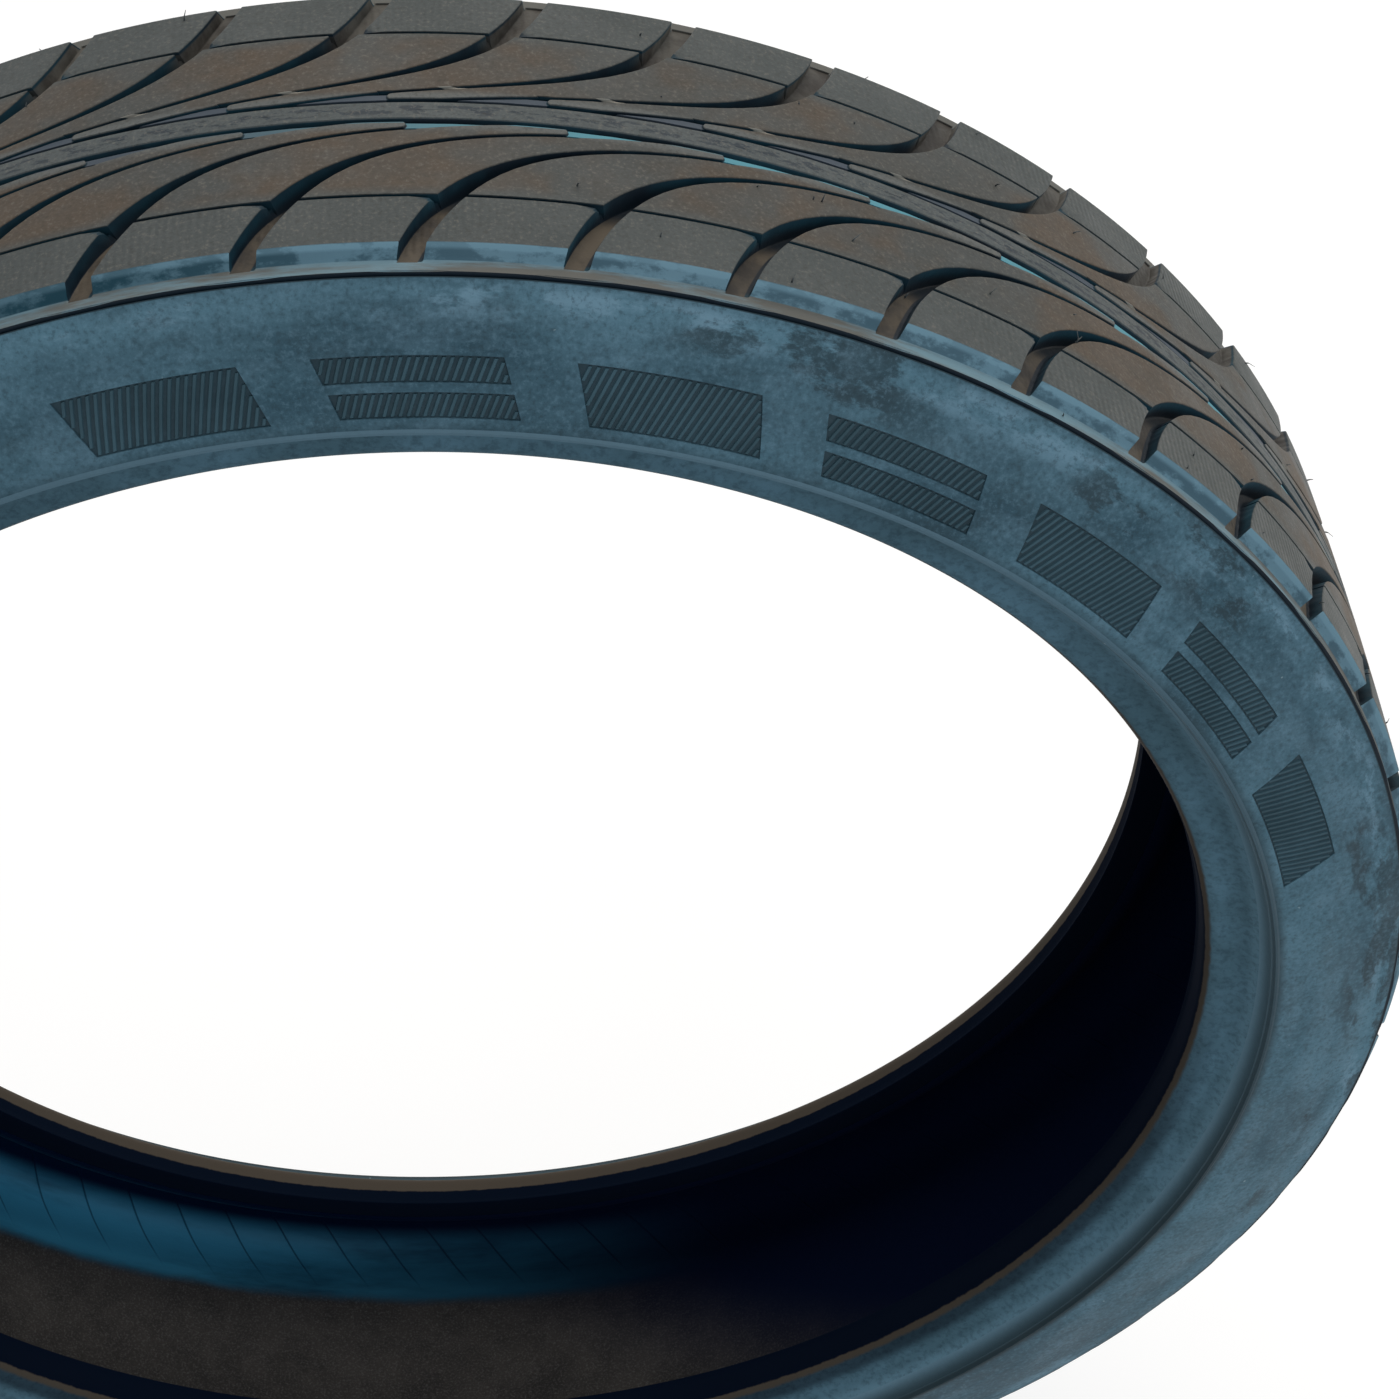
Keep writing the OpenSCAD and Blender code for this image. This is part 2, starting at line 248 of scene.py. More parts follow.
def leftward(path: np.ndarray) -> np.ndarray:
    """Unit vectors to the left of the way a path runs in the (radius, y) plane."""
    way = np.gradient(path, axis=0)
    way /= np.linalg.norm(way, axis=1, keepdims=True)
    return np.stack([-way[:, 1], way[:, 0]], -1)


def along_path(distance: np.ndarray, length: np.ndarray, values: np.ndarray) -> np.ndarray:
    """Reads a path's (radius, y) values, given at each length, at other distances."""
    return np.stack([np.interp(distance, length, values[:, i]) for i in (0, 1)], -1)


# ---- Shader nodes ---------------------------------------------------------------------


@dataclass(frozen=True)
class Kit:
    """One kind of shader node, ready to be added.

    Fields: kind is its type without the ShaderNode prefix; settings are properties of
    the node itself; inputs are the sockets that its values go into, in turn; output is
    the socket that is read; fixed are values that are the same in all its uses.
    """

    kind: str
    settings: dict[str, Any] = field(default_factory=dict)
    inputs: tuple[int | str, ...] = (0, 1, 2)
    output: int | str = 0
    fixed: dict[str, Any] = field(default_factory=dict)


# Where a point lies, and what its piece's own map and marks say of it
PLACE = Kit("TexCoord", output="Object")
SURFACE = Kit("UVMap", {"uv_map": "surface"})
MARK = Kit("Attribute", output="Fac")
X_OF, Y_OF, Z_OF = (Kit("SeparateXYZ", output=i) for i in range(3))
JOINED = Kit("CombineXYZ")

# Sums on one, two or three values; SCALED is the first times the second plus the third
TIMES, PLUS, MINUS, OVER, LARGER, SIZE, SINE, TURN, SCALED = (
    Kit("Math", {"operation": operation})
    for operation in (
        "MULTIPLY", "ADD", "SUBTRACT", "DIVIDE", "MAXIMUM", "ABSOLUTE", "SINE", "ARCTAN2",
        "MULTIPLY_ADD",
    )
)
LENGTH = Kit("VectorMath", {"operation": "LENGTH"}, output="Value")

# STEP takes a value, where it gives 0 and where it gives 1, in either order of size;
# NOISE takes a place, its blobs to one unit of it and its detail, and gives 0 to 1;
# LAYER takes a share, the colour under and the colour over; BUMP a height, its depth in
# metres and the bump under it
STEP = Kit("MapRange", {"interpolation_type": "SMOOTHSTEP"})
NOISE = Kit("TexNoise", {}, ("Vector", "Scale", "Detail"), "Fac", {"Roughness": 0.68})
LAYER = Kit("Mix", {"data_type": "RGBA"}, (0, 6, 7), 2)
BUMP = Kit("Bump", {}, ("Height", "Distance", "Normal"), 0, {"Strength": 1.0})

# What the floor and the backdrop are made of
RAYS = tuple(Kit("LightPath", output=f"Is {ray} Ray") for ray in ("Camera", "Glossy", "Transmission"))
MATT = Kit("BsdfDiffuse", inputs=("Color",))
GLOW = Kit("Emission", inputs=("Color", "Strength"))
SKY = Kit("Background", inputs=("Color", "Strength"))
TOGETHER = Kit("AddShader")
EITHER = Kit("MixShader")
MATERIAL_END = Kit("OutputMaterial", inputs=("Surface",))
WORLD_END = Kit("OutputWorld", inputs=("Surface",))


def linear(code: str) -> tuple[float, float, float, float]:
    """Turns an sRGB hex code into a linear colour with full alpha."""
    parts = [int(code[i : i + 2], 16) / 255.0 for i in (0, 2, 4)]
    straight = [p / 12.92 if p <= 0.04045 else ((p + 0.055) / 1.055) ** 2.4 for p in parts]
    return (*straight, 1.0)


def add(tree: bpy.types.NodeTree, kit: Kit, *values: Any, **settings: Any) -> Socket | None:
    """Adds one shader node with its settings and links.

    Args:
        tree: the material's or the world's node tree.
        kit: the kind of node.
        settings: properties of the node for this use alone.
    """
    made = tree.nodes.new("ShaderNode" + kit.kind)
    for key, value in {**kit.settings, **settings}.items():
        setattr(made, key, value)
    for key, value in (*kit.fixed.items(), *zip(kit.inputs, values)):
        if isinstance(value, Socket):
            tree.links.new(value, made.inputs[key])
        else:
            made.inputs[key].default_value = linear(value) if isinstance(value, str) else value
    return made.outputs[kit.output] if len(made.outputs) else None


class Paint:
    """A material being written: a Principled shader and the patterns that feed it.

    Every value that varies is an output socket, so that layers can be stacked one over
    another in the order in which the real surface carries them.
    """

    def __init__(self, name: str, roughness: float, gloss: float = 0.25, metallic: float = 0.0) -> None:
        """Starts a material with the values that are the same all over it.

        Args:
            name: what the real material is.
            roughness: of its surface, where no layer changes it.
            gloss: the specular level.
            metallic: one for a metal.
        """
        self.material = bpy.data.materials.new(name)
        self.material.use_nodes = True
        self.tree = self.material.node_tree
        self.shader = self.tree.nodes["Principled BSDF"]
        even = {"Roughness": roughness, "Metallic": metallic, "Specular IOR Level": gloss}
        for key, value in even.items():
            self.shader.inputs[key].default_value = value

    def add(self, kit: Kit, *values: Any, **settings: Any) -> Socket:
        """Adds a node to this material."""
        return add(self.tree, kit, *values, **settings)

    @cached_property
    def place(self) -> Socket:
        """Where a point lies on the object, in metres."""
        return self.add(PLACE)

    @cached_property
    def x(self) -> Socket:
        """Metres to the right of the wheel axis."""
        return self.add(X_OF, self.place)

    @cached_property
    def y(self) -> Socket:
        """Metres along the wheel axis."""
        return self.add(Y_OF, self.place)

    @cached_property
    def z(self) -> Socket:
        """Metres above the wheel axis."""
        return self.add(Z_OF, self.place)

    @cached_property
    def around(self) -> Socket:
        """Millimetres round the tyre, from the piece's own map."""
        return self.add(X_OF, self.add(SURFACE))

    @cached_property
    def across(self) -> Socket:
        """Millimetres across the surface, from the piece's own map."""
        return self.add(Y_OF, self.add(SURFACE))

    @cached_property
    def radius(self) -> Socket:
        """Millimetres from the wheel axis."""
        return self.add(OVER, self.add(LENGTH, self.add(JOINED, self.x, self.z)), METRES)

    @cached_property
    def off_centre(self) -> Socket:
        """Millimetres from the tyre's middle plane."""
        return self.add(OVER, self.add(SIZE, self.y), METRES)

    def all_of(self, *shares: Any) -> Any:
        """The product of shares from 0 to 1, so that all of them have to hold."""
        return reduce(lambda one, other: self.add(TIMES, one, other), shares)

    def stack(self, colour: Any, *layers: tuple) -> Any:
        """Lays colours over one another.

        Args:
            colour: the lowest colour.
            layers: for each one, from the lowest up, its colour and then the shares
                that bound it.

        Returns:
            The colour that shows.
        """
        for over, *shares in layers:
            colour = self.add(LAYER, self.all_of(*shares), colour, over)
        return colour

    def clouds(self, scale: float, detail: float, start: float, end: float) -> Socket:
        """A step of cloudy noise; scale counts its blobs along a metre."""
        return self.add(STEP, self.add(NOISE, self.place, scale, detail), start, end)

    def streaks(self, around: float, across: float, detail: float, start: float, end: float) -> Socket:
        """A step of noise drawn out round the tyre.

        It has no seam, because it reads the object's place and only its width from the
        map.

        Args:
            around: its blobs along a metre round the tyre.
            across: its blobs along a metre from bead to crown.
            detail: how many finer noises lie over the first.
            start: the noise that gives 0.
            end: the noise that gives 1.

        Returns:
            The share, from 0 to 1.
        """
        width = self.add(TIMES, self.across, METRES * across)
        ahead, up = (self.add(TIMES, side, around) for side in (self.x, self.z))
        where = self.add(JOINED, ahead, width, up)
        return self.add(STEP, self.add(NOISE, where, 1.0, detail), start, end)

    def grain(self, *layers: tuple[float, float, float]) -> Socket:
        """Bumps of cloudy noise, one over another.

        Args:
            layers: for each one, its blobs along a metre, its detail and its depth in
                millimetres.

        Returns:
            The normal of the uppermost.
        """
        under: tuple = ()
        for scale, detail, depth in layers:
            height = self.add(NOISE, self.place, scale, detail)
            under = (self.add(BUMP, height, depth * METRES, *under),)
        return under[0]

    def finish(self, colour: Socket, normal: Socket, roughness: Socket | None = None) -> Material:
        """Links the last layers to the shader.

        Args:
            colour: the colour that shows.
            normal: the uppermost bump.
            roughness: the roughness, where it varies.

        Returns:
            The material.
        """
        for key, last in (("Base Color", colour), ("Normal", normal), ("Roughness", roughness)):
            if last is not None:
                self.tree.links.new(last, self.shader.inputs[key])
        return self.material


# ---- Finishes -------------------------------------------------------------------------


@dataclass(frozen=True)
class TreadRubber:
    """Vulcanised SBR tread compound, pressed in a steel mould.

    New tread is dull and slightly brown in cloudy patches, greyer on the outer
    blocks, whose fine mould lines scatter the light, and painted near black down in a
    groove as shade. The sloped shoulder, the near ledge and the shelves beside the rib
    carry painted blue sky sheen, lighter towards the right; the tie bars carry a painted glint.
    """

    name: str = "moulded_sbr_tread_rubber"
    roughness: float = 0.7
    gloss: float = 0.2
    land: str = "43413d"
    brown: str = "51463b"
    grey: str = "414545"
    block: str = "444a4b"
    tip: str = "575b5b"
    rib: str = "4a5153"
    rib_stain: str = "212c36"
    # Painted sky sheen: the slope's teal on its lit side, and the light blue of its edges and of the
    # near ledge
    slope: str = "43606e"
    bloom_and_sheen: str = "7093a3"
    ledge: str = "5d5e5b"
    floor: str = "564f45"
    floor_dark: str = "35322f"
    floor_far: str = "54534f"
    pit: str = "35342f"
    glint: str = "6d6a63"
    # Painted shade and painted teal sheen down in the grooves; the first also paints the shadow under
    # the ledge
    deep: str = "081722"
    teal_sheen_and_shade: str = "0f3a48"
    # Painted sky sheen on the near shelves, and the shelves' plain colour on the far side
    shelf_sky_sheen: str = "5590a0"
    shelf_far: str = "414b56"
    # A light colour that paints a glint on the tie bars
    stub: str = "8e8c84"
    serration_mm: float = 1.6
    serration_depth: float = 0.05

    def build(self, pattern: TreadPattern) -> Material:
        """Writes the material.

        Args:
            pattern: the tread's lines, which bound the blocks, the slope and the ledge.

        Returns:
            The material.
        """
        paint = Paint(self.name, self.roughness, self.gloss)
        out = paint.add(SIZE, paint.across)
        near = paint.add(STEP, paint.across, 0.5, -0.5)
        colour = self._lands(paint, out, pattern.sipe_y)
        colour = self._shoulder(paint, colour, out, near, pattern)
        colour = self._grooves(paint, colour, out, near)
        grain = paint.grain((1600.0, 3.0, 0.05), (260.0, 2.0, 0.07))
        lines = self._serrations(paint, out, pattern)
        normal = paint.add(BUMP, lines, self.serration_depth * METRES, grain)
        return paint.finish(colour, normal, paint.clouds(60.0, 5.0, -1.2, 1.8))

    def _lands(self, paint: Paint, out: Socket, sipe_y: float) -> Socket:
        """Rib, inner lands and outer blocks, with brown patches on the inner lands.

        Args:
            paint: the material being written.
            out: millimetres from the middle of the tread.
            sipe_y: where the outer blocks begin.

        Returns:
            The colour of what touches the road.
        """
        grit = paint.add(NOISE, paint.place, 1100.0, 3.0)
        stain = paint.streaks(260.0, 650.0, 4.0, 0.48, 0.58)
        return paint.stack(
            self.grey,
            (self.brown, paint.clouds(15.0, 4.0, 0.45, 0.58), 0.9),
            (self.land, paint.clouds(90.0, 6.0, 0.35, 0.7), 0.6),
            (self.block, paint.add(STEP, out, sipe_y - 4.0, sipe_y + 1.0)),
            (self.tip, paint.add(STEP, out, 7.5, 5.0)),
            (self.rib, paint.add(STEP, out, 3.4, 3.0)),
            (self.rib_stain, stain, paint.add(STEP, out, 2.1, 1.1), 0.85),
            (self.tip, paint.clouds(34.0, 8.0, 0.56, 0.7), 0.4),
            (self.pit, paint.add(STEP, grit, 0.5, 0.3), 0.5),
            (self.glint, paint.add(STEP, grit, 0.52, 0.72), 0.5),
        )

    def _shoulder(
        self, paint: Paint, colour: Socket, out: Socket, near: Socket, pattern: TreadPattern
    ) -> Socket:
        """Sloped shoulder with painted sky sheen on its slope and edges, lighter to the right, and the
        flat ledge below it, with painted sheen on its near side.

        Args:
            paint: the material being written.
            colour: what lies under it.
            out: millimetres from the middle of the tread.
            near: one on the near half of the tread.
            pattern: the tread's lines.

        Returns:
            The colour with the slope and the ledge laid over it.
        """
        end, foot = pattern.chamfer_y, pattern.ledge_y
        sloped = paint.add(STEP, out, end - 0.15, end + 0.1)
        # Painted sheen: the slope is a light teal to the right and a shaded dark teal to the left
        slope = paint.stack(self.teal_sheen_and_shade, (self.slope, paint.add(STEP, paint.x, -0.07, 0.03)))
        top_edge = paint.add(STEP, out, end + 0.8, end + 0.3)
        # Painted sheen along the slope's top edge, broken up by streaks and lighter to the right
        painted_lighting = paint.add(PLUS, top_edge, paint.streaks(90.0, 260.0, 9.0, 0.44, 0.56))
        bloom_and_sheen = paint.streaks(16.0, 120.0, 9.0, 0.42, 0.6)
        # Painted sheen on the near ledge only, in streaky patches
        ledge = paint.stack(self.ledge, (self.bloom_and_sheen, bloom_and_sheen, near, 0.8))
        return paint.stack(
            colour,
            (slope, sloped),
            (self.bloom_and_sheen, painted_lighting, sloped, paint.add(STEP, paint.x, -0.16, 0.05), 0.7),
            (ledge, paint.add(STEP, out, foot - 0.1, foot + 0.05)),
        )

    def _grooves(self, paint: Paint, colour: Socket, out: Socket, near: Socket) -> Socket:
        """Walls darkened with depth as painted shade, with painted teal sheen near their tops, dusty
        floors near the shoulder, shelves by the rib in painted sky sheen, tie bars with a painted
        glint, and a painted shadow under the ledge.

        Args:
            paint: the material being written.
            colour: what lies under it.
            out: millimetres from the middle of the tread.
            near: one on the near half of the tread.

        Returns:
            The colour with the grooves laid over it.
        """
        marks = ("depth", "floor", "shelf", "stub")
        depth, floor, shelf, stub = (paint.add(MARK, attribute_name=mark) for mark in marks)
        # Painted shade: the walls go near black with depth, with a painted teal sheen near their tops
        wall_sheen_share = paint.add(STEP, depth, 3.4, 1.2)
        sheen_patches = paint.clouds(30.0, 4.0, 0.35, 0.65)
        walls = paint.stack(self.deep, (self.teal_sheen_and_shade, wall_sheen_share, sheen_patches, 0.75))
        dusty = paint.stack(self.floor_far, (self.floor, near))
        ground = paint.stack(self.floor_dark, (dusty, paint.clouds(70.0, 5.0, 0.35, 0.6)))
        low = paint.all_of(paint.add(STEP, depth, 0.55, 1.1), paint.add(MINUS, 1.0, near))
        low = paint.add(LARGER, low, paint.add(STEP, floor, 0.3, 0.6))
        # Painted sky sheen on the shelves: on the near side, paler towards the right
        pale = paint.add(STEP, paint.x, -0.06, 0.06)
        shelf_colour = paint.stack(self.shelf_far, (self.shelf_sky_sheen, pale, near))
        # Painted sheen along the land's inner edge beside the rib, on the near side
        lip = paint.all_of(paint.add(STEP, out, 3.95, 4.05), paint.add(STEP, out, 4.6, 4.3))
        return paint.stack(
            colour,
            (walls, paint.add(STEP, depth, 0.12, 0.35)),
            (ground, low, paint.add(STEP, out, 24.0, 31.0)),
            (shelf_colour, paint.add(STEP, shelf, 0.4, 0.9)),
            (shelf_colour, lip, paint.streaks(14.0, 20.0, 3.0, 0.42, 0.56), near),
            # Painted glint on the tie bars
            (self.stub, paint.add(STEP, stub, 0.4, 0.9)),
            # Painted shadow: a dark line where the ledge meets the wall
            (self.deep, paint.add(STEP, out, 47.62, 47.68)),
        )

    def _serrations(self, paint: Paint, out: Socket, pattern: TreadPattern) -> Socket:
        """Fine mould lines across the outer blocks, fainter here and there.

        Args:
            paint: the material being written.
            out: millimetres from the middle of the tread.
            pattern: the tread's lines.

        Returns:
            A wave from -1 to 1 on the blocks, zero elsewhere.
        """
        start, end = pattern.sipe_y, pattern.chamfer_y
        phase = paint.add(TIMES, paint.around, 2.0 * math.pi / self.serration_mm)
        return paint.all_of(
            paint.add(SINE, phase),
            paint.add(STEP, out, start, start + 1.0),
            paint.add(STEP, out, end, end - 1.0),
            paint.streaks(40.0, 60.0, 5.0, 0.35, 0.6),
        )


@dataclass(frozen=True)
class WallRubber:
    """Natural and butadiene rubber of a sidewall, moulded smooth.

    Its blue-teal tone is painted reflection of a cool sky. Wax that has come to the
    surface leaves a thin blue haze, wiped off here and there by hands and the floor, so
    the wall is cloudy and streaked along its length. The lighter band on the upper wall is
    partly that haze and partly painted highlight where the wall bulges; the hollow below
    the rim line carries painted highlight, and the hollow by the rim line, the sunk fields
    and the notch carry painted shade.
    """

    name: str = "moulded_wall_rubber_with_wax_bloom"
    roughness: float = 0.6
    # Blue-teal tones that stand in for sky reflected on the wall: painted reflection
    bare: str = "31505e"
    base: str = "496b7a"
    bloom_and_sheen: str = "5f8697"
    wisp: str = "7699ab"
    smear: str = "1c2f37"
    # Dark teal for painted shade: in the hollow by the rim line, in the sunk fields and along the notch
    hollow: str = "182c34"
    speck: str = "93a7ad"

    def build(self, height: float) -> Material:
        """Writes the material.

        Args:
            height: the wall's, from the rim line to the notch.

        Returns:
            The material.
        """
        paint = Paint(self.name, self.roughness)
        across, radius = paint.across, paint.radius
        below_notch = paint.add(STEP, across, height, height - 3.0)
        # The upper band of the wall: partly wax haze and partly painted highlight where the wall bulges
        band = paint.all_of(paint.add(STEP, across, 22.0, 28.5), below_notch)
        rubbed = paint.all_of(paint.clouds(11.0, 2.0, 0.5, 0.57), paint.add(STEP, across, 14.0, 21.0))
        # Painted shade in the hollow by the rim line, darker towards the bottom of the tyre
        rim_line_shade = paint.all_of(
            paint.add(STEP, radius, 201.8, 204.9),
            paint.add(STEP, radius, 208.6, 205.6),
            paint.add(STEP, paint.z, 0.45, -0.12),
        )
        blotch = paint.add(NOISE, paint.place, 60.0, 8.0)
        mottle = paint.add(NOISE, paint.place, 800.0, 5.0)
        colour = paint.stack(
            self.bare,
            (self.base, paint.streaks(9.0, 30.0, 6.0, 0.36, 0.62)),
            (self.bloom_and_sheen, paint.clouds(12.0, 6.0, 0.46, 0.66), 0.6),
            (self.bloom_and_sheen, paint.streaks(8.0, 40.0, 6.0, 0.34, 0.58), band, 0.75),
            (self.wisp, paint.streaks(42.0, 90.0, 12.0, 0.5, 0.6), paint.add(PLUS, band, 0.2), 0.7),
            (self.smear, paint.streaks(45.0, 90.0, 10.0, 0.5, 0.57), rubbed, 0.75),
            (self.smear, paint.add(STEP, blotch, 0.5, 0.3), 0.35),
            (self.wisp, paint.add(STEP, blotch, 0.5, 0.72), 0.3),
            (self.smear, paint.add(STEP, mottle, 0.5, 0.66), 0.4),
            (self.wisp, paint.add(STEP, mottle, 0.5, 0.34), 0.25),
            # Painted highlight on the hollow below the rim line, carrying on the bead's lit ridge
            (self.wisp, paint.add(STEP, across, -0.5, -1.5), 0.75),
            (self.hollow, rim_line_shade),
            (self.speck, paint.clouds(420.0, 1.0, 0.8, 0.86)),
            (self.smear, paint.clouds(130.0, 8.0, 0.3, 0.26)),
            # Painted shade in the sunk fields
            (self.hollow, paint.add(MARK, attribute_name="recess"), 0.85),
            # Painted shadow along the notch under the ledge
            (self.hollow, paint.add(STEP, across, height - 0.4, height - 0.1)),
        )
        normal = paint.grain((1300.0, 3.0, 0.05), (150.0, 6.0, 0.22))
        return paint.finish(colour, normal, paint.streaks(20.0, 90.0, 5.0, -1.0, 1.6))


@dataclass(frozen=True)
class BeadRubber:
    """Hard rubber round a bead: smooth in the flange hollow, brown where it seats.

    Like the wall's, its blue-teal tone is painted sky reflection. The seat and the heel's
    edge are brown; the flange's outer ridge carries painted highlight, and inside the toe
    and round the heel on the lower half the rubber is near black as painted shade.
    toe_end and toe_end_far are where that black ends on each side.
    """

    name: str = "hard_bead_rubber"
    roughness: float = 0.6
    gloss: float = 0.05
    base: str = "4c6976"
    cloud: str = "5e8091"
    seat: str = "453f38"
    # Painted highlight on the flange's outer ridge
    crest_highlight: str = "6f93a4"
    # Near black for painted shade inside the toe and round the lower heel, and for dark mottling
    inside: str = "040d1c"
    seat_top: float = 191.1
    toe_end: float = 44.6
    toe_end_far: float = 40.9

    def build(self) -> Material:
        """Writes the material.

        Returns:
            The material.
        """
        paint = Paint(self.name, self.roughness, self.gloss)
        radius = paint.radius
        ragged = paint.add(NOISE, paint.place, 300.0, 4.0)
        low = paint.add(PLUS, radius, ragged)
        far = paint.add(STEP, paint.y, 0.0, 0.01)
        ragged = paint.add(SCALED, far, self.toe_end - self.toe_end_far, ragged)
        inner = paint.add(PLUS, paint.off_centre, ragged)
        # Painted shade: inside the toe the rubber goes near black, which ends nearer the middle on the
        # far side
        dark = paint.add(STEP, inner, self.toe_end + 0.9, self.toe_end + 0.4)
        below = paint.add(STEP, paint.z, 0.03, -0.07)
        # Painted shade round the heel and toe on the lower half of the tyre
        painted_lighting = paint.all_of(paint.add(STEP, radius, 198.5, 193.5), below)
        colour = paint.stack(
            self.base,
            (self.cloud, paint.clouds(26.0, 6.0, 0.36, 0.66)),
            (self.crest_highlight, paint.add(STEP, radius, 199.5, 202.5), 0.8),
            (self.inside, paint.clouds(600.0, 5.0, 0.42, 0.7), 0.35),
            (self.inside, painted_lighting, 0.75),
            (self.seat, paint.add(STEP, low, self.seat_top + 1.3, self.seat_top + 0.5)),
            (self.inside, dark),
        )
        normal = paint.grain((1300.0, 3.0, 0.03), (130.0, 4.0, 0.12))
        rough = paint.add(SCALED, dark, 1.0 - self.roughness, self.roughness)
        return paint.finish(colour, normal, rough)


@dataclass(frozen=True)
class LinerRubber:
    """Butyl liner: dusted with release powder over the crown, slick on its walls."""

    name: str = "butyl_liner_rubber"
    roughness: float = 0.42
    powdered: float = 0.5
    gloss: float = 0.06
    wall: str = "010b24"
    # Painted blue sheen on the liner's walls
    sheen_blue: str = "3781a3"
    crown: str = "2b2b2c"
    dust: str = "3a3939"
    speck: str = "6a6a6c"

    def build(self) -> Material:
        """Writes the material, rougher where the powder lies.

        Returns:
            The material.
        """
        paint = Paint(self.name, self.roughness, self.gloss)
        out = paint.off_centre
        powder = paint.stack(
            self.crown,
            (self.dust, paint.clouds(60.0, 8.0, 0.3, 0.7)),
            (self.speck, paint.clouds(1500.0, 3.0, 0.45, 0.75), 0.35),
        )
        # Painted sheen: a blue band on the walls below the crown, brightest towards the left
        sheen = paint.all_of(
            paint.add(STEP, paint.radius, 219.5, 229.3),
            paint.add(STEP, out, 22.0, 31.0),
            paint.add(STEP, paint.x, 0.09, -0.12),
        )
        ragged = paint.add(SCALED, paint.add(NOISE, paint.place, 60.0, 6.0), 5.0, out)
        flat = paint.add(STEP, ragged, 31.5, 26.5)
        # Painted shade: the powder fades out towards the right and the far side, leaving the dark wall
        # colour
        shade_gradient = paint.add(SCALED, paint.y, 1.78, paint.x)
        colour = paint.stack(
            self.wall,
            (self.sheen_blue, sheen, paint.streaks(12.0, 60.0, 5.0, 0.1, 0.6)),
            # Painted shade along each raised line
            (self.wall, paint.add(MARK, attribute_name="line"), 0.65),
            (powder, flat, paint.add(STEP, shade_gradient, 0.13, 0.03)),
        )
        dull = paint.add(LARGER, flat, paint.add(STEP, paint.x, -0.06, 0.03))
        rough = paint.add(SCALED, dull, self.powdered, self.roughness)
        return paint.finish(colour, paint.grain((900.0, 4.0, 0.1)), rough)


@dataclass(frozen=True)
class PlainRubber:
    """A rubber of one colour with fine grain and faint clouding.

    It serves the hatched fields, the fillers and what is hidden between the layers.
    """

    name: str
    base: str
    cloud: str
    roughness: float = 0.5

    def build(self) -> Material:
        """Writes the material.

        Returns:
            The material.
        """
        paint = Paint(self.name, self.roughness)
        colour = paint.stack(self.base, (self.cloud, paint.clouds(30.0, 5.0, 0.38, 0.66)))
        return paint.finish(colour, paint.grain((1200.0, 3.0, 0.04), (90.0, 4.0, 0.1)))


@dataclass(frozen=True)
class CordSheet:
    """Rubberised cord: parallel cords in skim rubber, laid on a drum.

    The cords show as even ridges with darker rubber between. cords is their number
    round the tyre, bias the turns by which they slant over one metre of width.
    """

    name: str
    cord: str
    skim: str
    cords: int
    bias: float
    roughness: float = 0.6
    ridge: float = 0.12

    def build(self) -> Material:
        """Writes the material from the angle about the wheel axis and the width.

        Returns:
            The material.
        """
        paint = Paint(self.name, self.roughness)
        turn = paint.add(OVER, paint.add(TURN, paint.z, paint.x), 2.0 * math.pi)
        turn = paint.add(SCALED, paint.y, self.bias, turn)
        wave = paint.add(SINE, paint.add(TIMES, turn, 2.0 * math.pi * self.cords))
        colour = paint.stack(self.skim, (self.cord, paint.add(STEP, wave, -0.5, 0.6)))
        return paint.finish(colour, paint.add(BUMP, wave, self.ridge * METRES))


@dataclass(frozen=True)
class BrassedSteel:
    """High-tensile bead wire with a thin brass plate, drawn bright."""

    name: str = "brass_plated_drawn_steel"
    base: str = "a98a58"
    tarnish: str = "7c6747"
    roughness: float = 0.32

    def build(self) -> Material:
        """Writes the material.

        Returns:
            The material.
        """
        paint = Paint(self.name, self.roughness, metallic=1.0)
        colour = paint.stack(self.base, (self.tarnish, paint.clouds(140.0, 4.0, 0.4, 0.7)))
        return paint.finish(colour, paint.grain((2200.0, 2.0, 0.02)))


@dataclass(frozen=True)
class SquareWovenCloth:
    """Nylon chafer cloth, square woven and dipped; the weave shows as small squares."""

    name: str = "woven_nylon_chafer_cloth"
    roughness: float = 0.75
    thread: str = "5e5b50"
    gap: str = "26251f"
    thread_mm: float = 1.1
    bead_r: float = 195.0
    relief: float = 0.15

    def build(self) -> Material:
        """Writes the material with threads round the bead and across it.

        Returns:
            The material.
        """
        paint = Paint(self.name, self.roughness)
        threads_per_m = 2.0 * math.pi / (self.thread_mm * METRES)
        turn = paint.add(TURN, paint.z, paint.x)
        warp = paint.add(SINE, paint.add(TIMES, turn, threads_per_m * self.bead_r * METRES))
        weft = paint.add(SINE, paint.add(TIMES, paint.y, threads_per_m))
        weave = paint.add(TIMES, warp, weft)
        colour = paint.stack(self.gap, (self.thread, paint.add(STEP, weave, -0.6, 0.5)))
        return paint.finish(colour, paint.add(BUMP, weave, self.relief * METRES))


# ---- The section that every piece shares ----------------------------------------------


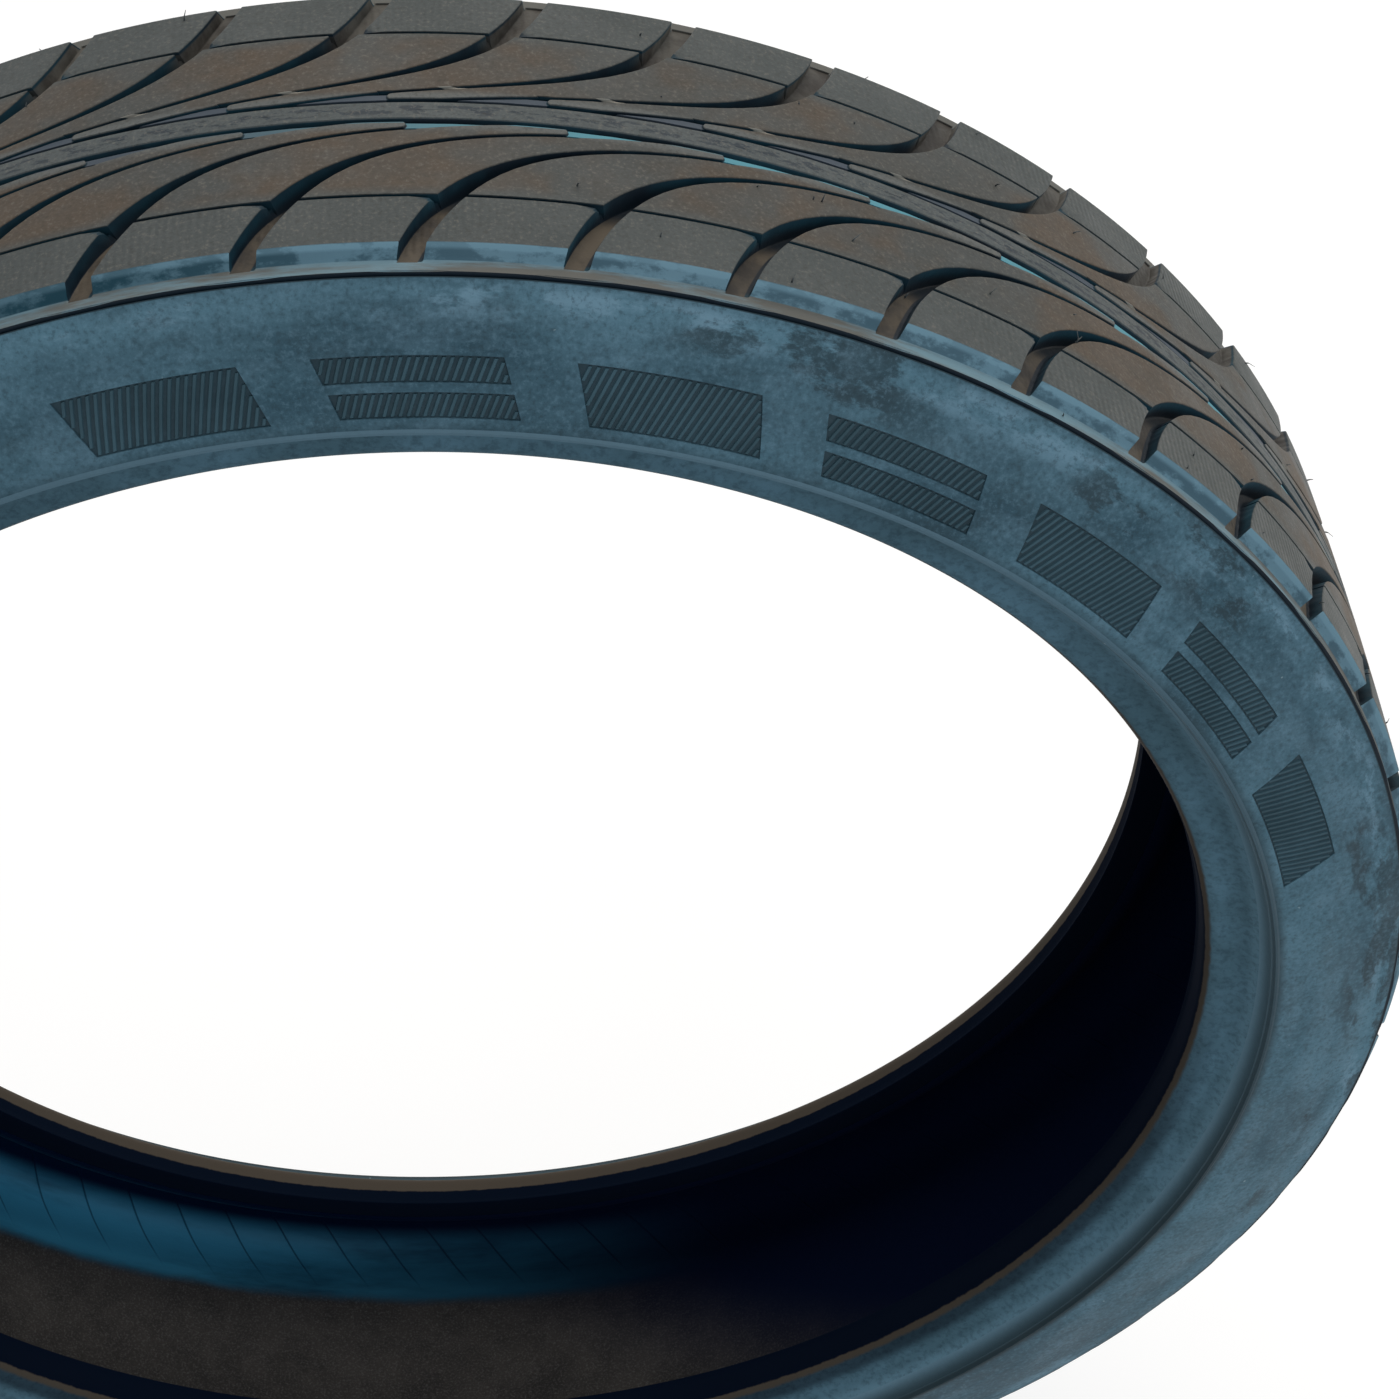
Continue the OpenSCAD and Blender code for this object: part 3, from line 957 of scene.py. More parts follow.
@dataclass(frozen=True)
class Section:
    """The tyre's section on one side, as (radius, y) in millimetres.

    Its three overall sizes are the frame's own; the rest are the thicknesses and radii
    of the construction.
    """

    outer_r: float
    tread_y: float
    rim_line_y: float
    seat_r: float = 190.1
    crown_r: float = 1440.0
    crown_half: float = 36.0
    shoulder_y: float = 45.0
    ledge_drop: float = 3.1
    tread_under_r: float = 235.28
    tread_edge_r: tuple[float, float] = (236.9, 236.2)
    ply_depth: float = 9.0
    widest_up: float = 27.4
    widest_in: float = 6.3
    heel_r: float = 4.5
    flange_r: float = 9.7
    bead_y: float = 47.5
    toe_y: float = 36.3
    core_top: float = 198.2
    core_in: float = 39.6

    @classmethod
    def from_frame(cls) -> Section:
        """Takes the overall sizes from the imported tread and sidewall."""
        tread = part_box("tread_cap")[1] / METRES
        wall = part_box("sidewall_left")[1] / METRES
        return cls(outer_r=round(tread.z, 2), tread_y=tread.y, rim_line_y=wall.y)

    @property
    def rim_line(self) -> tuple[float, float]:
        """Where the low ridge above the rim flange stands."""
        return (self.seat_r + self.heel_r + self.flange_r + 1.0, self.rim_line_y)

    @property
    def ledge_r(self) -> float:
        """Radius of the flat ledge below the tread's sloped shoulder."""
        return self.crown(self.shoulder_y) - self.ledge_drop

    def crown(self, y: np.ndarray | float) -> np.ndarray | float:
        """Radius of the tread's surface: a shallow curve across the tyre."""
        return self.outer_r - np.square(y) / (2.0 * self.crown_r)

    def ply_path(self) -> np.ndarray:
        """The plies' outer face from the crown down to the bead.

        It follows the crown as far as crown_half, and two cubics that meet at the widest
        point take it over the shoulder and down the wall.

        Returns:
            The points, as (radius, y).
        """
        widest = (self.seat_r + self.widest_up, self.rim_line_y - self.widest_in)
        ys = np.linspace(0.0, self.crown_half, 25)
        top = np.stack([self.crown(ys) - self.ply_depth, ys], -1)
        corner_r = top[-1, 0]
        rise = corner_r - widest[0]
        shoulder = cubic(
            top[-1],
            (corner_r - 0.2, (self.crown_half + 1.8 * widest[1]) / 2.8),
            (widest[0] + 0.58 * rise, widest[1]),
            widest,
            24,
        )
        fall = widest[0] - self.core_top
        wall = cubic(
            widest,
            (widest[0] - 0.57 * fall, widest[1]),
            (self.core_top + 0.35 * fall, self.core_in),
            (self.core_top, self.core_in),
            28,
        )
        return np.concatenate([top, shoulder[1:], wall[1:]])

    def flange_hollow(self, steps: int) -> np.ndarray:
        """The hollow that takes the rim flange, from the heel up to the rim line."""
        centre = (self.seat_r + self.heel_r, self.bead_y + self.flange_r)
        return arc(centre, self.flange_r, 270.0, 351.8, steps)


# ---- Tread ----------------------------------------------------------------------------


@dataclass(frozen=True)
class TreadPattern:
    """The lines of the tread, in millimetres across and degrees round the tyre.

    A groove's centre line trails its shoulder end by
    sweep * ((shoulder / y) ** bend - 1), so it leaves the shoulder nearly square and
    ends nearly along the tyre, where it opens into the narrow groove beside the rib.
    """

    section: Section
    pitches: int = 47
    sweep: float = 4.85
    bend: float = 0.72
    chamfer_y: float = 42.7
    ledge_y: float = 44.4
    width: float = 5.0
    tip_width: float = 1.0
    depth: float = 4.6
    tip_depth: float = 3.2
    tip_y: float = 6.3
    tail_y: float = 6.85
    tail_end: float = 4.0
    tail_length: float = 6.0
    tail_bow: float = 1.3
    rib_edge: float = 0.45
    hollow_y: float = 3.9
    hollow_depth: float = 3.4
    nose_in: float = 4.05
    nose_out: float = 5.8
    nose_round: float = 0.8
    sipe_y: float = 28.28
    sipe_width: float = 0.85
    sipe_depth: float = 2.2
    hook_end: float = 30.3
    hook_depth: float = 1.5
    tie_y: float = 8.3
    tie_width: float = 0.4
    tie_depth: float = 0.45
    shelf_depth: float = 0.5
    shelf_foot: float = 4.14
    line_width: float = 0.45
    line_depth: float = 3.2
    lip_y: float = 47.44
    lip_depth: float = 0.25
    first_groove: float = 4.6
    stagger: float = 0.9

    @property
    def pitch(self) -> float:
        """Angle from one groove to the next."""
        return 360.0 / self.pitches

    @property
    def degree_mm(self) -> float:
        """Millimetres round the crown for one degree."""
        return math.pi * self.section.outer_r / 180.0

    @property
    def tip_lag(self) -> float:
        """Angle by which the tongues' tips trail the shoulder."""
        return float(self.lag(np.array(self.tip_y)))

    def lag(self, y: np.ndarray) -> np.ndarray:
        """Angle by which the groove's line trails its shoulder end."""
        return self.sweep * (np.power(self.section.shoulder_y / y, self.bend) - 1.0)

    def stretch(self, y: np.ndarray) -> np.ndarray:
        """Degrees round the tyre for one millimetre square to the groove."""
        slope = self.sweep * self.bend * np.power(self.section.shoulder_y / y, self.bend) / y
        return np.sqrt(1.0 + np.square(slope * self.degree_mm)) / self.degree_mm

    def opening(self, y: np.ndarray) -> np.ndarray:
        """Share of the full width, from the tip out to the shoulder."""
        return ease(y / self.section.shoulder_y, 0.13, 0.71)

    def groove_depth(self, y: np.ndarray) -> np.ndarray:
        """Depth of a groove's floor: full in the middle, ramping up to meet the ledge.

        Args:
            y: distance from the tread's middle.

        Returns:
            The depth below the crown at each y.
        """
        crown = self.section.crown(y)
        level = crown - self.depth
        ramp = ease(y / self.section.shoulder_y, 0.49, 0.76)
        shallow = np.minimum(self.section.ledge_r, crown - 0.76 * self.depth)
        floor = level + ramp * (shallow - level)
        tip = self.tip_depth + (self.depth - self.tip_depth) * ease(y, 6.5, 11.0)
        return np.where(y < 12.0, tip, crown - floor)

    def shoulder_depth(self, y: np.ndarray) -> np.ndarray:
        """Depth of the sloping shoulder and the flat ledge outside it."""
        slope = (y - self.chamfer_y) / (self.ledge_y - self.chamfer_y)
        fall = self.section.crown(y) - self.section.ledge_r
        return np.clip(slope, 0.0, 1.0) * fall

    def rib_depth(self, y: np.ndarray) -> np.ndarray:
        """Depth of the rib's rounded edge and of the narrow groove beside it."""
        edge = ease(y, 2.55, 2.95) * self.rib_edge
        return edge + ease(y, 2.8, 3.36) * (self.hollow_depth - self.rib_edge)

    def tail_reach(self, y: np.ndarray) -> np.ndarray:
        """Degrees past a tongue's tip at which the land's inner edge crosses y.

        The edge closes in on the rib as end + (start - end) * (1 - phi / length) ** bow.
        """
        share = np.clip((y - self.tail_end) / (self.tail_y - self.tail_end), 0.0, 1.0)
        return self.tail_length * (1.0 - np.power(share, 1.0 / self.tail_bow))

    def foot_depth(self, y: np.ndarray) -> np.ndarray:
        """Depth of the wall that rises from the groove beside the rib to a tongue."""
        rise = (self.shelf_foot - y) / (self.shelf_foot - self.hollow_y)
        return self.hollow_depth * np.clip(rise, 0.0, 1.0)


class Bottom(Enum):
    """What the bottom of a groove is, for the marks that the tread rubber reads."""

    FLOOR = 1
    SHELF = 2
    # A tie bar's top, which the tread rubber paints light as a painted glint
    STUB = 3


class Tread:
    """The moulded tread, one closed ring for each side.

    A pitch is a grid. Its rows are stations across the tyre, and its columns are a
    groove's COLUMNS, which follow the groove, and LAND more that share out the land up
    to the next groove.
    """

    # Stations across one side; those between two walls sit close together
    RIB = (0.0, 1.3, 2.3, 2.6, 2.7, 2.78, 2.86, 3.3, 3.4, 3.65, 3.9)
    TAIL = (4.02, 4.12, 4.25, 4.5, 4.8, 5.1, 5.35, 5.55, 5.7, 5.8, 6.0, 6.2, 6.4, 6.6, 6.75, 6.84)
    GROOVE = (
        6.95, 7.4, 7.8, 8.05, 8.12, 8.48, 8.55, 9.1, 9.9, 10.8, 11.9, 13.2, 14.8, 16.6, 18.7,
        21.0, 23.4, 25.6, 27.1, 27.8, 27.87, 28.69, 28.76, 29.2, 29.8, 30.4, 31.8, 33.8, 36.0,
        38.3, 40.3, 41.8, 42.4, 42.65, 42.8, 43.2, 44.0, 44.35, 44.5, 44.75, 44.95,
    )
    LEDGE = (45.1, 45.6, 46.4, 47.1, 47.42, 47.46, 47.6, 47.7)
    BACK = 9

    # Columns of a pitch: a groove's, those of its floor, of a tongue's shelf and of a
    # floor's foot, which on the near side keeps the walls' painted shadow, then those of
    # the land after it
    COLUMNS = 18
    FLOOR = slice(6, 12)
    SHELF = slice(8, 12)
    FOOT = slice(10, 12)
    LAND = 5

    def __init__(self, pattern: TreadPattern) -> None:
        """Takes the pattern whose lines the grid follows."""
        self.pattern = pattern
        self.section = pattern.section

    def _groove_columns(self, y: np.ndarray) -> tuple[np.ndarray, np.ndarray, np.ndarray]:
        """The columns where a groove has two walls.

        Half a groove is, from the land inwards: two land columns, a rounded edge, the
        wall, a fillet and the floor; the other half mirrors it.

        Args:
            y: the rows' stations.

        Returns:
            Angle, depth and kind of bottom at each point.
        """
        p = self.pattern
        half = (p.tip_width + (p.width - p.tip_width) * p.opening(y)) / 2.0
        floor = half * (0.43 + 0.27 * p.opening(y) + 0.2 * ease(y, 28.0, 38.0))
        edge = np.minimum(0.24, 0.3 * half)
        fillet = np.minimum(0.3, 0.5 * floor)
        deep = p.groove_depth(y)
        zero = np.zeros_like(y)
        away = [
            (half + edge + 0.5, zero),
            (half + edge, zero),
            (half + 0.5 * edge, 0.134 * edge),
            (half + 0.134 * edge, 0.5 * edge),
            (half, edge),
            (floor + 0.1, deep - fillet),
            (floor - 0.25 * fillet, deep - 0.3 * fillet),
            (floor - fillet, deep),
        ]
        offset = np.stack([t for t, _ in away], -1)
        depth = np.stack([d for _, d in away], -1)
        middle = np.stack([-0.35 * floor, 0.35 * floor], -1)
        offset = np.concatenate([-offset, middle, offset[:, ::-1]], 1)
        depth = np.concatenate([depth, np.stack([deep, deep], -1), depth[:, ::-1]], 1)
        angle = p.lag(y)[:, None] + offset * p.stretch(y)[:, None]
        bottom = np.zeros(offset.shape)
        bottom[:, self.FLOOR] = Bottom.FLOOR.value
        return angle, depth, bottom

    def _tail_columns(self, y: np.ndarray) -> tuple[np.ndarray, np.ndarray, np.ndarray]:
        """The same columns past a tongue's tip, where the centre groove has opened.

        On the left the tongue ends in a rounded nose that steps down to a shelf. The
        shelf tapers away between the rib and a narrow deep line, which follows the next
        land's inner edge.

        Args:
            y: the rows' stations.

        Returns:
            Angle, depth and kind of bottom at each point.
        """
        p = self.pattern
        middle = (p.nose_in + p.nose_out) / 2.0
        reach = (p.nose_out - p.nose_in) / 2.0 - p.nose_round
        corner = np.clip(np.abs(y - middle) - reach, 0.0, p.nose_round)
        nose = (p.nose_round - np.sqrt(p.nose_round**2 - corner**2)) / p.degree_mm
        tongue = y <= p.nose_out
        groove_edge = p.lag(y) - 0.5 * p.tip_width * p.stretch(y)
        wall = np.where(tongue, p.tip_lag - nose, np.minimum(groove_edge, p.tip_lag - nose))
        foot = p.foot_depth(y)
        shelved = (p.tail_reach(y + p.line_width) > 0.12) & tongue
        start = np.where(shelved, np.maximum(p.shelf_depth, foot), p.line_depth)
        shares = np.array([0.0, 0.0, 0.05, 0.2, 0.42, 0.85, 0.96, 1.0])
        backs = np.array([-0.62, -0.2, -0.12, -0.06, -0.02, 0.05, 0.12, 0.2]) / p.degree_mm
        left_angle = wall[:, None] + backs
        left_depth = foot[:, None] + shares * (start - foot)[:, None]
        turn = np.maximum(left_angle[:, 7] + 0.03, p.tip_lag + 0.06)
        shelf_end = np.maximum(p.tip_lag + p.tail_reach(y + p.line_width), turn + 0.1)
        line_start = np.maximum(p.tip_lag + p.tail_reach(y + p.line_width - 0.1), shelf_end + 0.05)
        edge = np.maximum(p.tip_lag + p.tail_reach(y), line_start + 0.3)
        line_end = np.maximum(p.tip_lag + p.tail_reach(y + 0.12), line_start + 0.1)
        line_end = np.minimum(line_end, edge - 0.1)
        places = [
            (turn - 0.015, start),
            (turn, start),
            ((turn + shelf_end) / 2.0, start),
            (shelf_end, start),
            (line_start, p.line_depth),
            ((line_start + line_end) / 2.0, p.line_depth),
            (line_end, p.line_depth),
            (line_end + 0.6 * (edge - line_end), np.maximum(0.5, foot)),
            (edge, np.maximum(0.05, foot)),
            (edge + 0.12, foot),
        ]
        angle = np.concatenate([left_angle, np.stack([a for a, _ in places], -1)], 1)
        right_depth = np.stack([d + 0.0 * y for _, d in places], -1)
        depth = np.concatenate([left_depth, right_depth], 1)
        bottom = np.zeros(angle.shape)
        bottom[:, self.SHELF] = np.where(shelved & (foot < 1.6), Bottom.SHELF.value, 0.0)[:, None]
        return angle, depth, bottom

    def _land_columns(self, angle: np.ndarray) -> np.ndarray:
        """Adds evenly spaced columns from the last one to the next pitch's first."""
        span = angle[:, :1] + self.pattern.pitch - angle[:, -1:]
        share = np.arange(1, self.LAND + 1) / (self.LAND + 1.0)
        return np.concatenate([angle, angle[:, -1:] + span * share], 1)

    def _one_pitch(self, far: bool) -> tuple[np.ndarray, ...]:
        """Works out one pitch, from the rib to the ledge.

        Args:
            far: whether it is the far side's, which has tie bars low in its grooves and
                dust right across their floors; on the near side the floors' foot is left in the
                walls' painted shadow.

        Returns:
            Y of each row, and angle, radius, depth and kind of bottom of each point.
        """
        p = self.pattern
        rib, tail, groove, ledge = map(np.array, (self.RIB, self.TAIL, self.GROOVE, self.LEDGE))
        y = np.concatenate([rib, tail, groove, ledge])
        outside = len(rib) + len(tail)
        tail_angle, tail_depth, tail_bottom = self._tail_columns(tail)
        groove_angle, groove_depth, groove_bottom = self._groove_columns(groove)
        rib_angle = np.repeat(tail_angle[:1], len(rib), 0)
        ledge_angle = np.repeat(groove_angle[-1:], len(ledge), 0)
        rib_depth = np.repeat(p.rib_depth(rib)[:, None], self.COLUMNS, 1)
        lip = (ledge > p.lip_y) * p.lip_depth
        ledge_depth = np.repeat((p.shoulder_depth(ledge) + lip)[:, None], self.COLUMNS, 1)
        angle = np.concatenate([rib_angle, tail_angle, groove_angle, ledge_angle])
        angle = self._land_columns(angle)
        land = np.repeat(p.foot_depth(y)[:, None], self.LAND, 1)
        land[: len(rib)] = rib_depth[:, :1]
        depth = np.concatenate([rib_depth, tail_depth, groove_depth, ledge_depth])
        depth = self._cut_details(y, np.concatenate([depth, land], 1))
        bottom = np.zeros(angle.shape)
        bottom[len(rib) : outside, : self.COLUMNS] = tail_bottom
        bottom[outside : outside + len(groove), : self.COLUMNS] = groove_bottom
        # On the near side the floor's foot stays unmarked, so it keeps the walls' painted shadow
        if not far:
            bottom[outside:, self.FOOT] = 0.0
        tie = (np.abs(y - p.tie_y) < p.tie_width / 2.0) & far
        depth[tie] = np.minimum(depth[tie], p.tie_depth)
        bottom[np.ix_(tie, np.arange(2, self.COLUMNS - 2))] = Bottom.STUB.value
        shoulder = p.shoulder_depth(y)[:, None]
        sunk = np.maximum(depth - shoulder, 0.0) * (y < p.ledge_y)[:, None]
        radius = self.section.crown(y)[:, None] - np.maximum(depth, shoulder)
        return y, angle, radius, sunk, bottom

    def _cut_details(self, y: np.ndarray, depth: np.ndarray) -> np.ndarray:
        """Adds the sipe across each land and the hook at its far end.

        Args:
            y: the rows' stations.
            depth: the depth at each point.

        Returns:
            The depth with the sipe and the hook.
        """
        p = self.pattern
        sipe = (np.abs(y - p.sipe_y) < p.sipe_width / 2.0)[:, None]
        depth = np.where(sipe, np.maximum(depth, p.sipe_depth), depth)
        hook = np.clip((p.hook_end - y) / (p.hook_end - p.sipe_y), 0.0, 1.0) * (y > p.sipe_y)
        shares = np.array([0.35, 0.9, 1.0, 1.1, 1.2])
        cut = p.hook_depth * hook[:, None] * shares
        depth[:, : len(shares)] = np.maximum(depth[:, : len(shares)], cut)
        return depth

    def sheet(self, side: Side) -> Sheet:
        """Repeats one pitch round the tyre and closes it underneath.

        Args:
            side: which half of the tread it is.

        Returns:
            The side's half of the tread, marked with its depth and its grooves' bottoms.
        """
        p, s = self.pattern, self.section
        y, angle, radius, depth, bottom = self._one_pitch(side is Side.LEFT)
        back_y = np.linspace(s.tread_y, 0.0, self.BACK)
        share = np.linspace(0.0, 1.0, self.BACK)[:, None]
        back_angle = angle[-1:] + share * (angle[:1] - angle[-1:])
        edge_r = np.array(s.tread_edge_r)[:, None] + 0.0 * angle[:1]
        y = np.concatenate([y, np.full(len(edge_r), s.tread_y), back_y])
        angle = np.concatenate([angle, np.repeat(angle[-1:], len(edge_r), 0), back_angle])
        radius = np.concatenate([radius, edge_r, np.full_like(back_angle, s.tread_under_r)])
        plain = np.zeros((len(edge_r) + self.BACK, angle.shape[1]))
        LOG.info("tread %s: %d columns to a pitch, %d rows", side.name, angle.shape[1], len(y))
        turns = (np.arange(p.pitches) * p.pitch)[None, :, None]
        around = (angle[:, None, :] + turns).reshape(len(y), -1)
        radius = np.tile(radius, (1, p.pitches))
        depth, bottom = (np.tile(np.concatenate([v, plain]), (1, p.pitches)) for v in (depth, bottom))
        if side is Side.RIGHT:
            theta = p.first_groove - around
        else:
            theta = p.first_groove + p.stagger - 2.0 * p.tip_lag + around
        across = np.broadcast_to(side.value * y[:, None], around.shape)
        marks = {kind.name.lower(): 1.0 * (bottom == kind.value) for kind in Bottom}
        points = on_wheel(radius, across, theta)
        return Sheet(points, around * p.degree_mm, across, {"depth": depth} | marks, 35.0)

    def dress(self, rubber: Material) -> list[Piece]:
        """Builds both sides and the vents' whiskers in tread rubber.

        Args:
            rubber: the tread's material.

        Returns:
            The three pieces.
        """
        pieces = []
        for side in Side:
            piece = self.sheet(side).build(f"tread_{side.name.lower()}")
            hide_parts("tread_cap")
            pieces.append(piece)
        pieces.append(Whiskers(self.pattern).build())
        for piece in pieces:
            piece.data.materials.append(rubber)
        return pieces


@dataclass(frozen=True)
class Whiskers:
    """Rubber hairs left by the mould's vents, thin bent cones.

    They stand on the lands near the shoulders. Close to the four points where the
    tread touches its bounding box they were trimmed off.
    """

    pattern: TreadPattern
    seed: int = 7
    hairs: int = 240
    trimmed: float = 8.5
    rows_y: tuple[float, ...] = (12.0, 22.0, 35.0, 40.5, 46.2)
    ledge_from: float = 44.0
    scatter: float = 0.8
    lengths: tuple[float, float] = (0.5, 2.2)
    on_land: float = 1.8
    on_ledge: float = 3.8
    lean: float = 0.9
    thick: float = 0.22
    taper: tuple[float, ...] = (1.0, 0.7, 0.35)
    sides: int = 5
    rooted: float = 0.15

    def build(self) -> Piece:
        """Writes all the hairs as one piece.

        A hair's rings rise by its length times t and lean by its length times t
        squared, and its thickness tapers.

        Returns:
            The new object.
        """
        rng = np.random.default_rng(self.seed)
        theta = rng.uniform(0.0, 360.0, self.hairs)
        theta = theta[np.abs((theta + 45.0) % 90.0 - 45.0) > self.trimmed]
        n = len(theta)
        y = rng.choice([-1.0, 1.0], n) * rng.choice(self.rows_y, n)
        y = y + rng.uniform(-self.scatter, self.scatter, n)
        below = np.abs(y) > self.ledge_from
        section = self.pattern.section
        base = section.crown(y) - below * section.ledge_drop - self.rooted
        longest = np.where(below, self.on_ledge, self.on_land)
        length = np.minimum(rng.uniform(*self.lengths, n), longest)
        lean = rng.uniform(-self.lean, self.lean, (n, 2))
        t = np.linspace(0.0, 1.0, len(self.taper))
        q = np.radians(np.arange(self.sides) * 360.0 / self.sides)
        size = self.thick * np.array(self.taper)
        rise = base[:, None] + length[:, None] * t
        shift = (lean * length[:, None])[:, :, None] * np.square(t)
        ring_y, ring_t = (size[:, None] * wave for wave in (np.cos(q), np.sin(q)))
        hair_y = y[:, None, None] + shift[:, 0, :, None] + ring_y
        hair_turn = (shift[:, 1, :, None] + ring_t) / self.pattern.degree_mm
        points = on_wheel(rise[:, :, None], hair_y, theta[:, None, None] + hair_turn).reshape(-1, 3)
        return loose_mesh("vent_whiskers", points, self._faces(n), 180.0)

    def _faces(self, hairs: int) -> list:
        """The walls of each hair, then its foot and its tip.

        Args:
            hairs: how many hairs there are.

        Returns:
            The point numbers of every face.
        """
        ring = np.arange(self.sides)
        ahead = (ring + 1) % self.sides
        wall = np.stack([ring, ahead, ahead + self.sides, ring + self.sides], -1)
        walls = np.concatenate([wall + k * self.sides for k in range(len(self.taper) - 1)])
        caps = np.stack([ring[::-1], ring + (len(self.taper) - 1) * self.sides])
        first = (np.arange(hairs) * self.sides * len(self.taper))[:, None, None]
        faces = [(cells + first).reshape(-1, cells.shape[1]).tolist() for cells in (walls, caps)]
        return faces[0] + faces[1]


# ---- Sidewalls ------------------------------------------------------------------------


class PanelKind(Enum):
    """The generic hatched fields that decorate a sidewall."""

    BROAD = 1
    STACKED = 2


@dataclass(frozen=True)
class Panel:
    """One sunk field: its ends in degrees, its lower and upper edge along the wall."""

    start: float
    end: float
    low: float
    high: float


@dataclass
class Sidewall:
    """One sidewall: a closed ring with a mould notch, a rim line and sunk fields.

    The wall's outline is a cubic that swells from the notch to the rim line. Lengths
    along it are counted from its lower end, in millimetres.
    """

    section: Section
    side: Side
    notch_gap: float = 0.2
    notch_foot_r: float = 231.7
    ply_top_r: float = 227.8
    ply_foot_r: float = 214.5
    slant: float = 0.32
    degree_mm: float = 3.7
    sunk: float = 0.4
    edge: float = 0.16
    field_low: float = 2.6
    field_high: float = 16.0
    field_gap: float = 2.2
    first_field: float = 106.0
    field_count: int = 7
    field_step: float = 13.3
    field_width: float = 9.6
    field_r: float = 213.0
    hatch_mm: float = 1.6
    hatch_lean: float = 0.62
    hatch_margin: float = 0.35
    hatch_shortest: float = 0.9
    wall_r: float = 215.0
    rows: int = 34
    row_gap: float = 0.3
    columns: int = 420
    column_gap: float = 0.12

    def wall_path(self, steps: int = 60) -> np.ndarray:
        """The outer face from the rim line up to the notch.

        Args:
            steps: the number of stretches.

        Returns:
            The points, as (radius, y).
        """
        s = self.section
        top = np.array([s.ledge_r - self.notch_gap - 0.6, s.tread_y + 0.5])
        rim = np.array(s.rim_line)
        way = rim - top
        path = cubic(
            top,
            top + (0.27 * way[0], 0.38 * way[1]),
            rim - (0.34 * way[0], 0.13 * way[1] + 0.5),
            rim + (0.9, -0.5),
            steps,
        )
        return path[::-1]

    def panels(self) -> list[Panel]:
        """A row of sunk fields, broad ones and stacked pairs in turn.

        Returns:
            Every field, two for a stacked pair.
        """
        fields = []
        middle = (self.field_low + self.field_high) / 2.0
        lower, upper = middle - self.field_gap / 2.0, middle + self.field_gap / 2.0
        heights = {
            PanelKind.BROAD: [(self.field_low, self.field_high)],
            PanelKind.STACKED: [(self.field_low, lower), (upper, self.field_high)],
        }
        for n in range(self.field_count):
            end = self.first_field - n * self.field_step
            kind = PanelKind.STACKED if n % 2 else PanelKind.BROAD
            fields += [Panel(end - self.field_width, end, low, high) for low, high in heights[kind]]
        return fields

    def _turn(self, theta: np.ndarray, along: np.ndarray) -> np.ndarray:
        """Leans an angle with the height along the wall, so that fields are slanted."""
        return theta + self.slant * (along - self.field_low) / self.degree_mm

    def _stations(self, length: float) -> tuple[np.ndarray, np.ndarray]:
        """Rows and columns spaced evenly, and close together on every field's edge.

        Args:
            length: the wall's, from the rim line to the notch.

        Returns:
            Millimetres along the wall for each row, degrees for each column.
        """
        fields = self.panels()
        bounds = sorted({v for f in fields for v in (f.low, f.high)})
        fine = [b + k for b in bounds for k in (-self.edge / 2, self.edge / 2)]
        even = np.linspace(0.0, length, self.rows)
        apart = np.abs(even[:, None] - np.array(fine)[None, :]).min(1)
        along = np.sort(np.concatenate([even[apart > self.row_gap], fine]))
        half = self.edge / self.degree_mm / 2
        ends = sorted({v for f in fields for v in (f.start, f.end)})
        fine_theta = np.array([e + k for e in ends for k in (-half, half)])
        theta = np.linspace(0.0, 360.0, self.columns, endpoint=False)
        apart = np.abs(theta[:, None] - fine_theta[None, :]).min(1)
        return along, np.sort(np.concatenate([theta[apart > self.column_gap], fine_theta]))

    def sheet(self) -> Sheet:
        """Lays the grid over the wall, sinks the fields and closes the ring behind it.

        Returns:
            The wall, marked 1 where a field is sunk.
        """
        wall = self.wall_path()
        length = run_length(wall)
        along, theta = self._stations(length[-1])
        face = along_path(along, length, wall)
        recess = np.zeros((len(along), len(theta)))
        for panel in self.panels():
            rows = (along > panel.low) & (along < panel.high)
            columns = (theta > panel.start) & (theta < panel.end)
            recess[np.ix_(rows, columns)] = 1.0
        grid = face[:, None, :] - self.sunk * recess[:, :, None] * leftward(face)[:, None, :]
        rest = self._closing_path()
        rest_grid = np.repeat(rest[:, None, :], len(theta), 1)
        grid = np.concatenate([grid, rest_grid])
        lean = np.concatenate([along, np.linspace(length[-1], 0.0, len(rest) + 2)[1:-1]])
        angle = self._turn(theta[None, :], lean[:, None])
        points = on_wheel(grid[..., 0], self.side.value * grid[..., 1], angle)
        around = angle * math.radians(self.wall_r)
        across = np.concatenate([along, np.full(len(rest), -5.0)])
        across = np.broadcast_to(across[:, None], around.shape)
        recess = np.concatenate([recess, np.zeros(rest_grid.shape[:2])])
        return Sheet(points, around, across, {"recess": recess}, 32.0)

    def _closing_path(self) -> np.ndarray:
        """The rest of the section: notch, inner face on the plies, hollow, rim line.

        Returns:
            The points, as (radius, y), from the notch back to the rim line.
        """
        s = self.section
        ply = s.ply_path()
        bead = np.array([s.seat_r, s.bead_y])
        rim = np.array(s.rim_line)
        parts = [
            [[s.ledge_r - self.notch_gap - 1.2, s.tread_y], [self.notch_foot_r, s.tread_y]],
            ply[(ply[:, 0] < self.ply_top_r) & (ply[:, 0] > self.ply_foot_r)][::4],
            bead + [[20.9, 2.4], [16.3, 1.3], [12.3, 0.2]],
            s.flange_hollow(14)[9:],
            rim + [[-0.75, -1.1], [-0.2, 0.0], [0.1, 0.0], [0.4, 0.0], [0.65, -0.25]],
        ]
        return np.concatenate([np.array(p) for p in parts])

